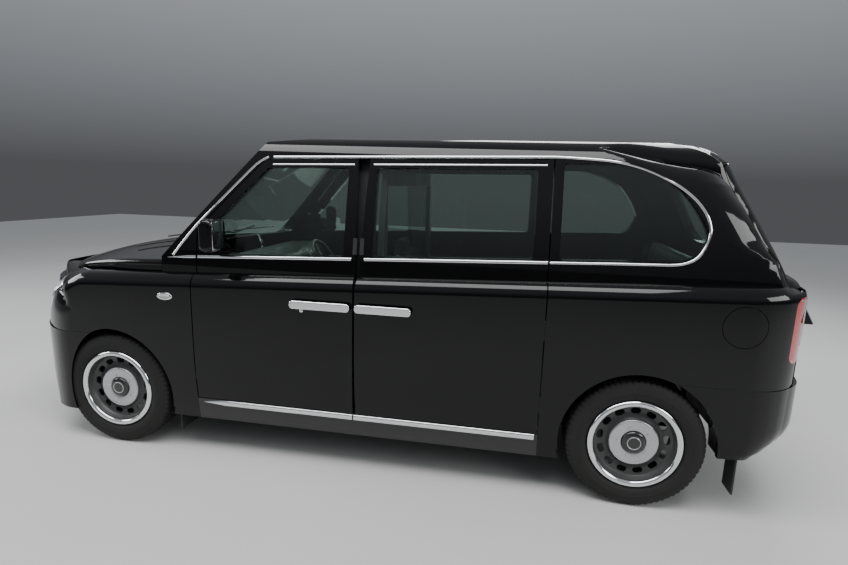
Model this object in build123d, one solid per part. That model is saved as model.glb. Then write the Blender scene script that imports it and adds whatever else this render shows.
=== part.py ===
# Taxi cab: a tall, purpose-built five-door cab with rear-hinged back doors.
# Millimetres. The nose points to -Y, the left side of the cab is +X and up is +Z.
# The origin is on the ground, in the middle of the cab's length and width.
from build123d import *
from math import cos, radians, sin
import os

os.makedirs("parts", exist_ok=True)

# Overall sizes
overall_length = 4857.0
roof_height = 1888.0
half_body = 937.0            # widest point of the doors, from the middle plane
wheelbase = 2985.0
front_axle_y = -1538.0
rear_axle_y = front_axle_y + wheelbase

# Lower body: the wide part below the shoulder
body_front = -2372.0
body_rear = 2322.0
body_bottom = 215.0
shoulder_height = 1122.0     # at the middle of the car
line_rise = 0.036            # shoulder and belt rise towards the rear
shoulder_radius = 78.0
sill_half_width = 893.0
bulge_height = 690.0         # above this height the flanks are upright

# Upper body: waist band, windows and roof
belt_height = 1207.0
waist_half = 866.0
belt_half = 860.0
gutter_half = 741.0
gutter_height = 1745.0
gutter_rise = 0.018
crown_half = 608.0
crown_edge_height = 1856.0
wall = 62.0                  # door and pillar thickness above the belt
cabin_floor = 340.0

# Doors
door_front_y = -985.0
door_split_y = -37.0
door_rear_y = 957.0
door_bottom = 351.0
shut_gap = 6.0
split_gap = 8.0
hinge_x = 940.0
split_slant = 0.14           # the doors' meeting edges lean away from each other inwards

# Wheels
tyre_radius = 345.0
tyre_width = 215.0
tyre_wall_radius = 222.0     # bead seat of the rim
wheel_x = 815.0
arch_radius = 382.0
kingpin_x = 777.0

# Bumpers
bumper_top = 690.0
front_bumper_bottom = 195.0
rear_bumper_bottom = 330.0
bumper_depth = 150.0

parts = {}


def loop(rows):
    """A closed face from rows of u, v and the outward bulge of the edge that leads to the point."""
    edges = []
    for place, (u, v, _) in enumerate(rows):
        next_u, next_v, bulge = rows[(place + 1) % len(rows)]
        if bulge:
            edges.append(SagittaArc((u, v), (next_u, next_v), -bulge))
        else:
            edges.append(Line((u, v), (next_u, next_v)))
    return make_face(edges)


def rounded(face, radius_at):
    """Round a face's corners, with the radius that radius_at gives for each corner."""
    for radius in sorted({radius_at(v) for v in face.vertices()} - {0}):
        corners = [v for v in face.vertices() if radius_at(v) == radius]
        face = fillet(corners, radius)
    return face


def side_prism(face, x_low, x_high):
    """A side-view face (u = Y, v = Z) stretched from x_low to x_high."""
    return Pos(x_low, 0, 0) * extrude(Plane.YZ * face, x_high - x_low)


def front_prism(face, y_low, y_high):
    """A front-view face (u = X, v = Z) stretched from y_low to y_high."""
    return Pos(0, y_high, 0) * extrude(Plane.XZ * face, y_high - y_low)


def plan_prism(face, z_low, z_high):
    """A plan-view face (u = X, v = Y) stretched from z_low to z_high."""
    return Pos(0, 0, z_low) * extrude(face, z_high - z_low)


def block(x_low, x_high, y_low, y_high, z_low, z_high):
    size = (x_high - x_low, y_high - y_low, z_high - z_low)
    middle = ((x_low + x_high) / 2, (y_low + y_high) / 2, (z_low + z_high) / 2)
    return Pos(*middle) * Box(*size)


def disc_x(y, z, radius, x_low, x_high):
    """A cylinder along X."""
    return Pos((x_low + x_high) / 2, y, z) * Rot(0, 90, 0) * Cylinder(radius, x_high - x_low)


def mirrored(shape):
    return mirror(shape, about=Plane.YZ)


def belt_at(y):
    return belt_height + line_rise * y


def shoulder_at(y):
    return shoulder_height + line_rise * y


def gutter_at(y):
    return gutter_height + gutter_rise * y


def plan_face(half, front, rear, front_bow, rear_bow, front_radius, rear_radius):
    """A body outline seen from above: straight flanks, bowed ends and round corners."""
    face = loop([
        (half, front + front_bow, front_bow),
        (half, rear - rear_bow, 0),
        (-half, rear - rear_bow, rear_bow),
        (-half, front + front_bow, 0),
    ])
    middle = (front + rear) / 2
    return rounded(face, lambda v: front_radius if v.Y < middle else rear_radius)


def above_line(height_at, clearance=0.0):
    """Everything above a line that rises along the car."""
    low, high = -3000.0, 3000.0
    return side_prism(loop([
        (high, height_at(high) + clearance, 0), (high, 4000, 0),
        (low, 4000, 0), (low, height_at(low) + clearance, 0)]), -1500, 1500)


def lower_body(inset=0.0):
    """The wide lower body, with its round shoulder and tucked-in sills."""
    outline = plan_face(half_body - inset, body_front + inset, body_rear - inset,
                        235, 190, 400, 330)
    prism = plan_prism(outline, body_bottom, 1400) - above_line(shoulder_at)
    top_face = prism.faces().sort_by(Axis.Z)[-1]
    prism = fillet(top_face.edges(), shoulder_radius)
    tuck = half_body - sill_half_width
    half = half_body - inset
    flank = loop([
        (half - tuck, body_bottom - 20, 0), (half, bulge_height, tuck / 4), (half, 1500, 0),
        (-half, 1500, 0), (-half, bulge_height, 0), (-half + tuck, body_bottom - 20, tuck / 4)])
    nose_and_tail = loop([
        (body_rear - 60, body_bottom - 20, 0), (body_rear, 620, 12), (body_rear, 900, 0),
        (body_rear - 120, 1400, 0), (body_front + 330, 1400, 0),
        (body_front + 100, 985, 20), (body_front, 720, 22),
        (body_front + 60, body_bottom - 20, 12)])
    return prism & front_prism(flank, -2600, 2600) & side_prism(nose_and_tail, -1100, 1100)


def cabin_section(base, inset=0.0):
    """Front view of waist band, windows and roof."""
    return loop([
        (waist_half - inset, base, 0),
        (waist_half - inset, shoulder_height, 0),
        (belt_half - inset, belt_height, 0),
        (gutter_half - inset, gutter_height, 9),
        (crown_half - inset * 0.6, crown_edge_height - inset * 0.7, 28),
        (-crown_half + inset * 0.6, crown_edge_height - inset * 0.7, roof_height - crown_edge_height),
        (-gutter_half + inset, gutter_height, 28),
        (-belt_half + inset, belt_height, 9),
        (-waist_half + inset, shoulder_height, 0),
        (-waist_half + inset, base, 0)])


# Roof line, from the tail up, over the roof and down the windscreen: y, z, bulge
roof_line = [
    (2186.0, 1222.0, 0),
    (1902.0, 1724.0, 13),
    (1650.0, 1858.0, 33),
    (650.0, 1896.0, 7),
    (-600.0, 1828.0, 12),
    (-770.0, 1785.0, 6),
    (-1420.0, 1150.0, 20),
]
tail_lean = -0.566           # run for each millimetre of height
screen_lean = 1.02
tail_foot_y = 2262.0
screen_foot_z = 1000.0


def tail_prism(base, inset):
    """The bowed tail with its round corners, leaning forward from the base height up."""
    rear = 2209.0 + (1202.0 - base) * -tail_lean - inset
    outline = plan_face(905.0 - inset, -2400, rear, 0, 95, 0, 290)
    return Pos(0, 0, base) * extrude(outline, 2000, dir=Vector(0, tail_lean, 1))


def cabin(base, inset=0.0):
    """The upper body from the waist band up, as one closed volume."""
    rise = inset * 0.75
    rows = [(tail_foot_y - inset * 1.2, base - 10, 0), (tail_foot_y - inset * 1.2, 1060, 0)]
    for y, z, bulge in roof_line:
        shift = -inset * 1.1 if y > 1700 else inset * 1.2 if y < -700 else 0
        rows.append((y + shift, z - (rise if z > 1700 else 0), bulge))
    screen_foot_y = -1420.0 - (1150.0 - screen_foot_z) * screen_lean + inset * 1.4
    rows += [(screen_foot_y, screen_foot_z, 0), (screen_foot_y, base - 10, 0)]
    volume = front_prism(cabin_section(base, inset), -2400, 2400) & side_prism(loop(rows), -1100, 1100)
    half = 905.0 - inset
    volume = volume & (tail_prism(base - 20, inset) + block(-1100, 1100, -2400, 1000, base - 20, 2000))
    screen_y = screen_foot_y - 22
    screen = plan_face(half, screen_y, 4000, 235, 0, 120, 0)
    screen_prism = Pos(0, 0, screen_foot_z) * extrude(screen, 1400, dir=Vector(0, screen_lean, 1))
    return volume & (screen_prism + block(-1100, 1100, -500, 2400, base - 20, 2000)
                     + block(-1100, 1100, screen_y, 2400, base - 20, screen_foot_z))


# Bonnet stations: y, half width, height of the side edge, rise to the middle
bonnet_stations = [
    (-1100.0, 852.0, 1150.0, 58.0),
    (-1560.0, 815.0, 1126.0, 60.0),
    (-2060.0, 690.0, 1046.0, 54.0),
    (-2372.0, 560.0, 930.0, 40.0),
]


def bonnet_volume(inset=0.0):
    sections = []
    for y, half, edge, crown in bonnet_stations:
        half, edge = half - inset, edge - inset
        face = loop([
            (half, 800, 0), (half, edge - 34, 0), (half - 34, edge, 14),
            (-half + 34, edge, crown), (-half, edge - 34, 14), (-half, 800, 0)])
        sections.append(Pos(0, y, 0) * (Plane.XZ * face))
    volume = loft(sections)
    nose = loop([(-1000, 700, 0), (-1000, 1400, 0), (-2150, 1400, 0), (-2150, 1082, 0),
                 (body_front + inset, 850 - inset, 62), (body_front + inset, 700, 0)])
    return volume & side_prism(nose, -1100, 1100)


# The closed outer form and the space inside it
lower = lower_body()
upper = cabin(1000)
outer = lower + upper
cavity = cabin(cabin_floor, wall)
left_half = block(0, 1200, -3000, 3000, -100, 2500)

bonnet_rear_side_y = -1196.0
bonnet_rear_bow = 232.0
bay_half = 640.0
bay_rear = -1176.0
bay_front = -2240.0
nose_half = 520.0
pillar_rise = 1.047          # slope of the windscreen pillars seen from the side
door_corner_z = 1329.0
bay = block(-bay_half, bay_half, bay_front, bay_rear, 150, 1010)


def pillar_y(z):
    return door_front_y + (z - door_corner_z) / pillar_rise


def front_door_outline(grow=0.0):
    top_front, top_rear = gutter_at(-604) - shut_gap + grow, gutter_at(door_split_y) - shut_gap + grow
    split = door_split_y - split_gap / 2 + grow
    face = loop([
        (split, door_bottom - grow, 0), (split, top_rear, 0),
        (pillar_y(top_front) - grow, top_front, 0), (door_front_y - grow, door_corner_z, 0),
        (door_front_y - grow, door_bottom - grow, 0)])
    return face


def rear_door_outline(grow=0.0):
    split = door_split_y + split_gap / 2 - grow
    return loop([
        (door_rear_y + grow, door_bottom - grow, 0),
        (door_rear_y + grow, gutter_at(door_rear_y) - shut_gap + grow, 0),
        (split, gutter_at(split) - shut_gap + grow, 0),
        (split, door_bottom - grow, 0)])


def split_side(front):
    """Keeps a door clear of the other one as they swing past each other."""
    depth = 450.0
    sign = -1 if front else 1
    edge = door_split_y + sign * split_gap / 2
    far = -2000.0 if front else 2000.0
    rows = [(hinge_x + 10, far, 0), (hinge_x + 10, edge, 0),
            (hinge_x - depth, edge + sign * split_slant * depth, 0), (hinge_x - depth, far, 0)]
    if not front:
        rows = [rows[0], rows[3], rows[2], rows[1]]
    return plan_prism(loop(rows), 0, 2500)


door_skin = (outer - cavity) & left_half

window_drop = 52.0           # from the door's top edge to the glass
window_sill = 16.0           # from the belt line to the glass
window_front_y = -915.0
pillar_frame = 62.0


def front_window():
    top = -window_drop
    face = loop([
        (-118, belt_at(-118) + window_sill, 0), (-118, gutter_at(-118) + top, 0),
        (pillar_y(gutter_at(-604) + top) + pillar_frame, gutter_at(-604) + top, 0),
        (window_front_y, door_corner_z + (window_front_y - pillar_frame - door_front_y) * pillar_rise, 0),
        (window_front_y, belt_at(window_front_y) + window_sill, 0)])
    return rounded(face, lambda v: 22)


def rear_window():
    face = loop([
        (882, belt_at(882) + window_sill, 0), (882, gutter_at(882) - window_drop, 0),
        (38, gutter_at(38) - window_drop, 0), (38, belt_at(38) + window_sill, 0)])
    return rounded(face, lambda v: 26)


def quarter_window():
    """Upright front edge, straight sill, and one round sweep from the top to the rear corner."""
    face = loop([
        (1590, belt_at(1590) + window_sill, 0), (1705, 1405, 30), (1560, 1630, 14),
        (1270, 1744, 30), (1010, 1742, 0), (1010, belt_at(1010) + window_sill, 0)])
    return rounded(face, lambda v: 24 if v.X < 1100 else 0)


def screen_outline(shrink=0.0):
    """Windscreen opening in front view."""
    face = loop([
        (742 - shrink, 1172 + shrink, 0), (622 - shrink, 1752 - shrink, 8),
        (-622 + shrink, 1752 - shrink, 22), (-742 + shrink, 1172 + shrink, 8)])
    return rounded(face, lambda v: 55 if v.Y > 1400 else 40)


def tail_window(shrink=0.0):
    face = loop([
        (610 - shrink, 1262 + shrink, 0), (540 - shrink, 1664 - shrink, 0),
        (-540 + shrink, 1664 - shrink, 0), (-610 + shrink, 1262 + shrink, 0)])
    return rounded(face, lambda v: 85)


def tailgate_outline(grow=0.0):
    face = loop([
        (662 + grow, bumper_top + 8 - grow, 0), (690 + grow, 1160, 0),
        (610 + grow, gutter_at(1900) - shut_gap + grow, 8),
        (-610 - grow, gutter_at(1900) - shut_gap + grow, 0),
        (-690 - grow, 1160, 8), (-662 - grow, bumper_top + 8 - grow, 0)])
    return face


glass_inset = 9.0
glass_thickness = 5.0
glass_band = cabin(1000, glass_inset) - cabin(990, glass_inset + glass_thickness)


def glass(window, x_low=0, x_high=1000, shrink=0.3):
    return glass_band & side_prism(offset(window, -shrink), x_low, x_high)


# Doors
front_door = door_skin & side_prism(front_door_outline(), 500, 1000) & split_side(True)
front_door -= side_prism(front_window(), 500, 1000)
rear_door = door_skin & side_prism(rear_door_outline(), 500, 1000) & split_side(False)
rear_door -= side_prism(rear_window(), 500, 1000)
hinge_half_gap = 0.15
hinge_zones = ((470, 560), (860, 950))
for z_low, z_high in hinge_zones:
    front_door += block(868, 928, door_front_y - shut_gap / 2 + hinge_half_gap, door_front_y, z_low, z_high)
    rear_door += block(868, 928, door_rear_y, door_rear_y + shut_gap / 2 - hinge_half_gap, z_low, z_high)
parts["front_door_left"] = front_door
parts["rear_door_left"] = rear_door
parts["front_door_glass_left"] = glass(front_window())
parts["rear_door_glass_left"] = glass(rear_window())

# Door pulls: one bar for each door, in line, with flat feet on the flank
handle_z = 962.0
handle_height = 46.0
handle_reach = 34.0
for name, y_low, y_high in (("front_door_handle_left", -388.0, -50.0), ("rear_door_handle_left", -24.0, 281.0)):
    bar = block(half_body + 14, half_body + handle_reach, y_low, y_high,
                handle_z - handle_height / 2, handle_z + handle_height / 2)
    bar = fillet(bar.edges().filter_by(Axis.X), 20)
    bar = fillet(bar.faces().sort_by(Axis.X)[-1].edges(), 7)
    for foot_y in (y_low + 34, y_high - 34):
        bar += block(half_body, half_body + 15, foot_y - 22, foot_y + 22, handle_z - 17, handle_z + 17)
    parts[name] = bar

# Door mirror on a triangular base in the window's front corner
mirror_y = -835.0
mirror_z = 1312.0
housing = Pos(950, mirror_y, mirror_z) * Box(136, 84, 178)
housing = fillet(housing.edges().filter_by(Axis.X), 34)
housing = fillet(housing.faces().sort_by(Axis.X)[-1].edges(), 26)
arm = block(840, 930, mirror_y - 34, mirror_y + 34, mirror_z - 86, mirror_z - 52)
base_sill = belt_at(window_front_y) + window_sill + 0.6
base_outline = loop([(-720, base_sill + 8, 0), (window_front_y + 0.3, 1322, 0), (window_front_y + 0.3, base_sill, 0)])
base_plate = (upper - cabin(990, glass_inset - 0.3)) & side_prism(rounded(base_outline, lambda v: 24), 500, 1000)
parts["mirror_left"] = housing + (arm - upper) + base_plate

# Arches, roof, quarters, wings
arch_lip_x = 905.0
well_radius = arch_radius + 10
front_well = (disc_x(front_axle_y, tyre_radius, well_radius, 392, arch_lip_x)
              + disc_x(front_axle_y, tyre_radius, arch_radius, 392, 960))
rear_well = (disc_x(rear_axle_y, tyre_radius, well_radius, 640, arch_lip_x)
             + disc_x(rear_axle_y, tyre_radius, arch_radius, 640, 960))
above_gutter = above_line(gutter_at)
roof = ((upper - cabin(1000, wall)) & above_gutter) - front_prism(screen_outline(), -1700, -500)

screen_zone = side_prism(loop([
    (pillar_y(gutter_at(-604)) - shut_gap, gutter_at(-604), 0), (-1700, gutter_at(-1700), 0),
    (-1700, shoulder_at(-1700), 0), (door_front_y - shut_gap, shoulder_at(door_front_y), 0),
    (door_front_y - shut_gap, door_corner_z + 2, 0)]), -1100, 1100)
cowl_zone = plan_prism(loop([
    (900, -1700, 0), (900, bonnet_rear_side_y + shut_gap, 0),
    (-900, bonnet_rear_side_y + shut_gap, -bonnet_rear_bow), (-900, -1700, 0)]), 900, 1300)
screen_frame = (upper - cavity) & screen_zone
screen_frame -= cowl_zone
screen_frame -= above_gutter
screen_frame -= front_prism(screen_outline(), -1700, -500)
parts["screen_frame"] = screen_frame
for x in (-420, 420):
    roof += block(x - 45, x + 45, 1806, 1836, gutter_at(1900) - shut_gap + 0.3, gutter_at(1900) + 4)
parts["roof"] = roof
parts["windscreen"] = glass_band & front_prism(screen_outline(0.3), -1700, -500)

bonnet_zone = plan_prism(loop([
    (900, -2400, 0), (900, bonnet_rear_side_y, 0),
    (-900, bonnet_rear_side_y, -bonnet_rear_bow), (-900, -2400, 0)]), 800, 1300)
bonnet_sheet = 34.0
bonnet_gap = 5.0
bonnet = (bonnet_volume() - bonnet_volume(bonnet_sheet)) & bonnet_zone & above_line(shoulder_at, bonnet_gap)
parts["bonnet"] = bonnet

quarter = door_skin & block(0, 1000, door_rear_y + shut_gap, 2500, 0, 2500)
quarter -= above_gutter
quarter -= rear_well
quarter -= block(0, 1000, rear_axle_y, 2500, 0, bumper_top + 3)
quarter -= front_prism(tailgate_outline(shut_gap), 1700, 2500)
quarter -= side_prism(quarter_window(), 500, 1000)

flap_y, flap_z, flap_radius = 1868.0, 1000.0, 98.0
flap_cut = disc_x(flap_y, flap_z, flap_radius + 3, 860, 960)
flap_disc = disc_x(flap_y, flap_z, flap_radius, 860, 960) & lower
flap = flap_disc - Pos(-14, 0, 0) * lower
quarter -= flap_cut
parts["charge_flap"] = flap

lamp_face = rounded(loop([(868, 815, 0), (868, 1140, 0), (768, 1140, 0), (768, 815, 0)]), lambda v: 40)
lamp_zone = front_prism(lamp_face, 2000, 2500)
tail_lamp = lower & lamp_zone & block(700, 950, 2030, 2500, 700, 1300)
parts["tail_lamps"] = tail_lamp + mirrored(tail_lamp)
quarter -= lamp_zone & block(700, 950, 2030, 2500, 700, 1300)
quarter -= block(0, 760, 0, 2500, 0, cabin_floor)
for z_low, z_high in hinge_zones:
    quarter += block(868, 928, door_rear_y + shut_gap / 2 + hinge_half_gap, door_rear_y + shut_gap, z_low, z_high)
quarter += block(890, 934, flap_y - flap_radius - 5, flap_y - flap_radius - 0.3, flap_z - 20, flap_z + 20)
house = disc_x(rear_axle_y, tyre_radius, well_radius + 8, 632, 830) - rear_well
house -= disc_x(rear_axle_y, tyre_radius, 80, 600, 700)
quarter += house & block(600, 779, 0, rear_axle_y + arch_radius, cabin_floor, 1000)
parts["quarter_left"] = quarter
quarter_pane = glass(quarter_window())
parts["quarter_glass"] = quarter_pane + mirrored(quarter_pane)

tailgate = (outer - cavity) & front_prism(tailgate_outline(), 1700, 2500) & block(-1000, 1000, 1750, 2500, 0, 2500)
tailgate -= above_gutter
tailgate -= front_prism(tail_window(), 1700, 2500)
parts["tailgate"] = tailgate
pane_inset = 22.0
tail_band = tail_prism(1000, pane_inset) - tail_prism(990, pane_inset + glass_thickness)
parts["tailgate_glass"] = tail_band & front_prism(tail_window(0.3), 1600, 2500)

wing = lower & block(0, 1000, -2500, door_front_y - shut_gap, 0, 1400)
wing -= bay + block(0, nose_half, -2500, -1000, 0, 1400)
wing -= cavity
wing -= front_well
wing -= block(0, 1000, -2500, front_axle_y, 0, bumper_top + 3)
headlamp_x, headlamp_z, headlamp_radius = 712.0, 868.0, 118.0
lamp_bore = Pos(headlamp_x, -2200, headlamp_z) * Rot(90, 0, 0) * Cylinder(headlamp_radius + 3, 400)
headlamp_back = -2050.0
lamp_bore &= block(500, 1000, -2500, headlamp_back, 0, 1400)
lamp_body = Pos(headlamp_x, -2200, headlamp_z) * Rot(90, 0, 0) * Cylinder(headlamp_radius, 400)
wing -= lamp_bore
wing -= block(0, 760, bay_rear, 0, 0, cabin_floor)
for z_low, z_high in hinge_zones:
    wing += block(868, 928, door_front_y - shut_gap, door_front_y - shut_gap / 2 - hinge_half_gap, z_low, z_high)
for x, y in ((822, -1330), (700, -1980)):
    wing += Pos(x, y, shoulder_at(y) + bonnet_gap / 2 - 2) * Cylinder(9, bonnet_gap + 3.2)
headlamp = lamp_body & lower & block(500, 1000, -2500, headlamp_back, 0, 1400)
parts["headlamps"] = headlamp + mirrored(headlamp)
parts["wing_left"] = wing

nose = lower & block(-nose_half, nose_half, -2500, bay_front, bumper_top + 3, 1400)
grille_face = rounded(loop([(430, 705, 0), (400, 915, 0), (-400, 915, 14), (-430, 705, 0)]), lambda v: 36)
nose -= front_prism(grille_face, -2500, bay_front + 1)
parts["nose_panel"] = nose
frame_ring = offset(grille_face, -0.3) - offset(grille_face, -24)
grille = front_prism(frame_ring, -2395, -2310)
slat_count = 15
slat_half = 6.0
inner_face = offset(grille_face, -22)
for place in range(slat_count):
    slat_x = (place - (slat_count - 1) / 2) * 50.0
    slat = block(slat_x - slat_half, slat_x + slat_half, -2380, -2315, 600, 1000)
    grille += slat & front_prism(inner_face, -2400, -2300)
parts["grille"] = grille

# Bumpers
front_plan = plan_face(half_body - 6, -overall_length / 2, overall_length / 2, 235, 190, 420, 400)
front_inner = plan_face(half_body - 6 - bumper_depth, -overall_length / 2 + bumper_depth,
                        overall_length / 2 - bumper_depth, 235, 190, 300, 280)
front_bumper = plan_prism(front_plan - front_inner, front_bumper_bottom, bumper_top)
front_bumper &= block(-1000, 1000, -2500, front_axle_y, 0, 900)
front_bumper -= front_well + mirrored(front_well)
parts["front_bumper"] = front_bumper
rear_bumper = plan_prism(front_plan - front_inner, rear_bumper_bottom, bumper_top)
rear_bumper &= block(-1000, 1000, rear_axle_y, 2500, 0, 900)
rear_bumper -= rear_well + mirrored(rear_well)
parts["rear_bumper"] = rear_bumper

# Sills, floor, hoop between the doors
sill = lower & block(760, 1000, front_axle_y, rear_axle_y, 0, door_bottom - shut_gap)
sill -= front_well + rear_well
sill -= block(0, 1000, -2500, door_front_y - shut_gap, 0, 1400)
sill -= block(0, 1000, door_rear_y + shut_gap, 3000, 0, 1400)
sill -= cavity
parts["sills"] = sill + mirrored(sill)
floor_thickness = 44.0
boot_floor = 514.0
boot_step_y = 1200.0
floor_low = cabin_floor - floor_thickness
floor = side_prism(loop([
    (boot_step_y + floor_thickness, floor_low, 0), (boot_step_y + floor_thickness, boot_floor - floor_thickness, 0),
    (2060, boot_floor - floor_thickness, 0), (2060, boot_floor, 0), (boot_step_y, boot_floor, 0),
    (boot_step_y, cabin_floor, 0), (bay_rear + 2, cabin_floor, 0), (bay_rear + 2, floor_low, 0)]), -759.7, 759.7)
well_sheet = 8.0
wheelhouse = disc_x(rear_axle_y, tyre_radius, well_radius + well_sheet, 640 - well_sheet, 960)
floor -= wheelhouse + mirrored(wheelhouse)
floor -= rear_bumper
parts["floor_pan"] = floor
hoop_inset = wall + 6
hoop = (cabin(cabin_floor, hoop_inset) - cabin(cabin_floor - 30, hoop_inset + 52)) & block(
    -1000, 1000, door_split_y - 42, door_split_y + 42, cabin_floor, 2000)
parts["pillar_hoop"] = hoop


# Wheels: rim turned about the axle, with a ring of oval slots, and a plain tyre
rim_outer = 236.0
rim_lip_x = 104.0            # from the tyre's middle plane to the rim's outer lip
slot_count = 13
slot_ring = 171.0
disc_half = 16.0             # inner face of the brake disc


def about_axle(rows):
    """A face in radius and distance from the wheel's middle plane, turned about the axle (X)."""
    face = Plane(origin=(0, 0, 0), x_dir=(1, 0, 0), z_dir=(0, -1, 0)) * loop(rows)
    return revolve(face, Axis.X, 360)


def make_rim():
    rim = about_axle([
        (-disc_half, 0, 0), (56, 0, 0), (62, 60, 0), (70, 66, 0), (70, 122, 0), (52, 134, 0), (44, 158, 0),
        (52, 192, 0), (96, 202, 0), (rim_lip_x, 208, 0), (rim_lip_x, 228, 0), (92, rim_outer, 0),
        (84, rim_outer, 0), (84, 222, 0), (-84, 222, 0), (-84, rim_outer, 0), (-92, rim_outer, 0),
        (-92, 214, 0), (20, 204, 0), (32, 190, 0), (30, 120, 0), (34, 100, 0),
        (34, 72, 0), (6, 72, 0), (6, 150, 0), (-disc_half, 150, 0)])
    for place in range(slot_count):
        slot = SlotOverall(27, 18)
        cut = extrude(Plane.YZ * Pos(0, slot_ring) * slot, 200)
        rim -= Rot(360.0 * place / slot_count, 0, 0) * cut
    return rim


def make_tyre():
    half = tyre_width / 2
    bead = 83.4
    tyre = about_axle([
        (-bead, tyre_wall_radius + 0.3, 0), (bead, tyre_wall_radius + 0.3, 0), (bead, rim_outer + 1, 0),
        (half - 11, rim_outer + 4, 0), (half, rim_outer + 36, 4), (half - 14, tyre_radius - 22, 5),
        (half - 40, tyre_radius - 2, 6), (-half + 40, tyre_radius - 2, 2), (-half + 14, tyre_radius - 22, 6),
        (-half, rim_outer + 36, 5), (-half + 11, rim_outer + 4, 4), (-bead, rim_outer + 1, 0)])
    return tyre


rim = make_rim()
tyre = make_tyre()
for corner, axle_y in (("front", front_axle_y), ("rear", rear_axle_y)):
    parts[f"{corner}_rim_left"] = Pos(wheel_x, axle_y, tyre_radius) * rim
    parts[f"{corner}_tyre_left"] = Pos(wheel_x, axle_y, tyre_radius) * tyre

# Knuckle: an upright on the kingpin's line, its stub and the steering arm
seat_gap = 0.3
upright_half = 100.0
upright_low, upright_high = tyre_radius - upright_half, tyre_radius + upright_half
knuckle = block(kingpin_x - 18, kingpin_x + 14, front_axle_y - 38, front_axle_y + 38, upright_low, upright_high)
knuckle += disc_x(front_axle_y, tyre_radius, 55, kingpin_x - 10, wheel_x - disc_half - seat_gap)
knuckle += block(732, kingpin_x - 10, front_axle_y, front_axle_y + 122, tyre_radius - 25, tyre_radius + 5)
parts["knuckle_left"] = knuckle

# Front subframe with rails, towers and the arms above and below each knuckle, one solid
rail_in, rail_out = 330.0, 400.0
rail_low, rail_high = 285.0, 380.0
half_frame = block(0, 430, front_axle_y - 190, front_axle_y + 210, 235, rail_low)
half_frame -= block(-10, 250, front_axle_y - 100, front_axle_y + 120, 200, 300)
half_frame += block(rail_in, rail_out, -2330, bay_rear + 2, rail_low, rail_high)
half_frame += block(rail_in, rail_out, front_axle_y - 70, front_axle_y + 70, rail_high, 500)
arm_half = 16.0              # narrow enough to stay clear of the brake disc when it is steered
arm_neck_x = 530.0


def arm_outline(foot_x, foot_half):
    """Plan of a suspension arm: a wide foot, a straight neck and a round end on the kingpin's line."""
    return loop([(foot_x, front_axle_y - foot_half, 0), (arm_neck_x, front_axle_y - arm_half, 0),
                 (kingpin_x, front_axle_y - arm_half, arm_half), (kingpin_x, front_axle_y + arm_half, 0),
                 (arm_neck_x, front_axle_y + arm_half, 0), (foot_x, front_axle_y + foot_half, 0)])


arm_plan = arm_outline(400, 100)
half_frame += plan_prism(arm_plan, upright_low - 26, upright_low - seat_gap)
half_frame += block(380, 430, front_axle_y - 100, front_axle_y + 100, upright_low - 26, 260)
upper_plan = arm_outline(390, 66)
half_frame += plan_prism(upper_plan, upright_high + seat_gap, upright_high + 22)
subframe = half_frame + mirrored(half_frame)
subframe -= front_bumper
parts["front_subframe"] = subframe

axle_end = wheel_x - disc_half - seat_gap
axle = about_axle([
    (-axle_end, 0, 0), (axle_end, 0, 0), (axle_end, 55, 0), (740, 55, 0), (740, 48, 0), (150, 48, 0),
    (60, 118, 20), (-60, 118, 0), (-150, 48, 20), (-740, 48, 0), (-740, 55, 0), (-axle_end, 55, 0)])
axle = Pos(0, rear_axle_y, tyre_radius) * axle
for x in (-520, 520):
    axle += block(x - 32, x + 32, 1040, rear_axle_y, floor_low - 50, floor_low)
    axle += block(x - 32, x + 32, rear_axle_y - 50, rear_axle_y + 50, floor_low - 50, tyre_radius)
    axle += Pos(x, rear_axle_y, (tyre_radius + boot_floor - floor_thickness) / 2) * Cylinder(
        50, boot_floor - floor_thickness - tyre_radius)
parts["rear_axle"] = axle

engine = block(-300, 300, -2080, -1500, 440, 900)
for side in (-1, 1):
    engine += block(min(side * 290, side * rail_out), max(side * 290, side * rail_out), -1960, -1860, rail_high, 470)
parts["engine_block"] = engine
parts["battery_pack"] = block(-520, 520, -700, 900, 205, floor_low)

# Cabin: bulkhead, dashboard, steering wheel, seats, partition
bulkhead = (cabin(cabin_floor, wall + 1) & block(-1000, 1000, -1172, -1130, cabin_floor, 1090))
parts["bulkhead"] = bulkhead
dash_face = loop([
    (-1130, 700, 0), (-900, 700, 0), (-850, 800, 0), (-840, 1010, 10), (-900, 1085, 14), (-1130, 1090, 10)])
dashboard = side_prism(dash_face, -780, 780)
wheel_centre = (-390.0, -700.0, 985.0)
column_tilt = 28.0
wheel_plane = Plane(origin=wheel_centre, x_dir=(1, 0, 0), z_dir=(0, cos(radians(column_tilt)), sin(radians(column_tilt))))
steering = wheel_plane * Torus(182, 15)
steering += wheel_plane * Pos(0, 0, -20) * Cylinder(62, 40)
for angle in (0, 180, 270):
    steering += wheel_plane * Rot(0, 0, angle) * Pos(110, 0, -12) * Box(130, 34, 16)
steering += wheel_plane * Pos(0, 0, -70) * Cylinder(24, 80)
dashboard += wheel_plane * Pos(0, 0, -110 - seat_gap - 60) * Cylinder(38, 120)
parts["dashboard"] = dashboard
parts["steering_wheel"] = steering


def seat(x, y, z, width, depth, height, cushion=130.0, back=120.0, recline=14.0):
    base = Pos(x, y, z) * Box(width, depth, cushion, align=(Align.CENTER, Align.CENTER, Align.MIN))
    base = fillet(base.edges(), 28)
    rest = Box(width, back, height, align=(Align.CENTER, Align.CENTER, Align.MIN))
    rest = fillet(rest.edges(), 28)
    rest = Pos(x, y + depth / 2 - back / 2, z + cushion - 40) * Rot(-recline, 0, 0) * rest
    return base + rest


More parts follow.
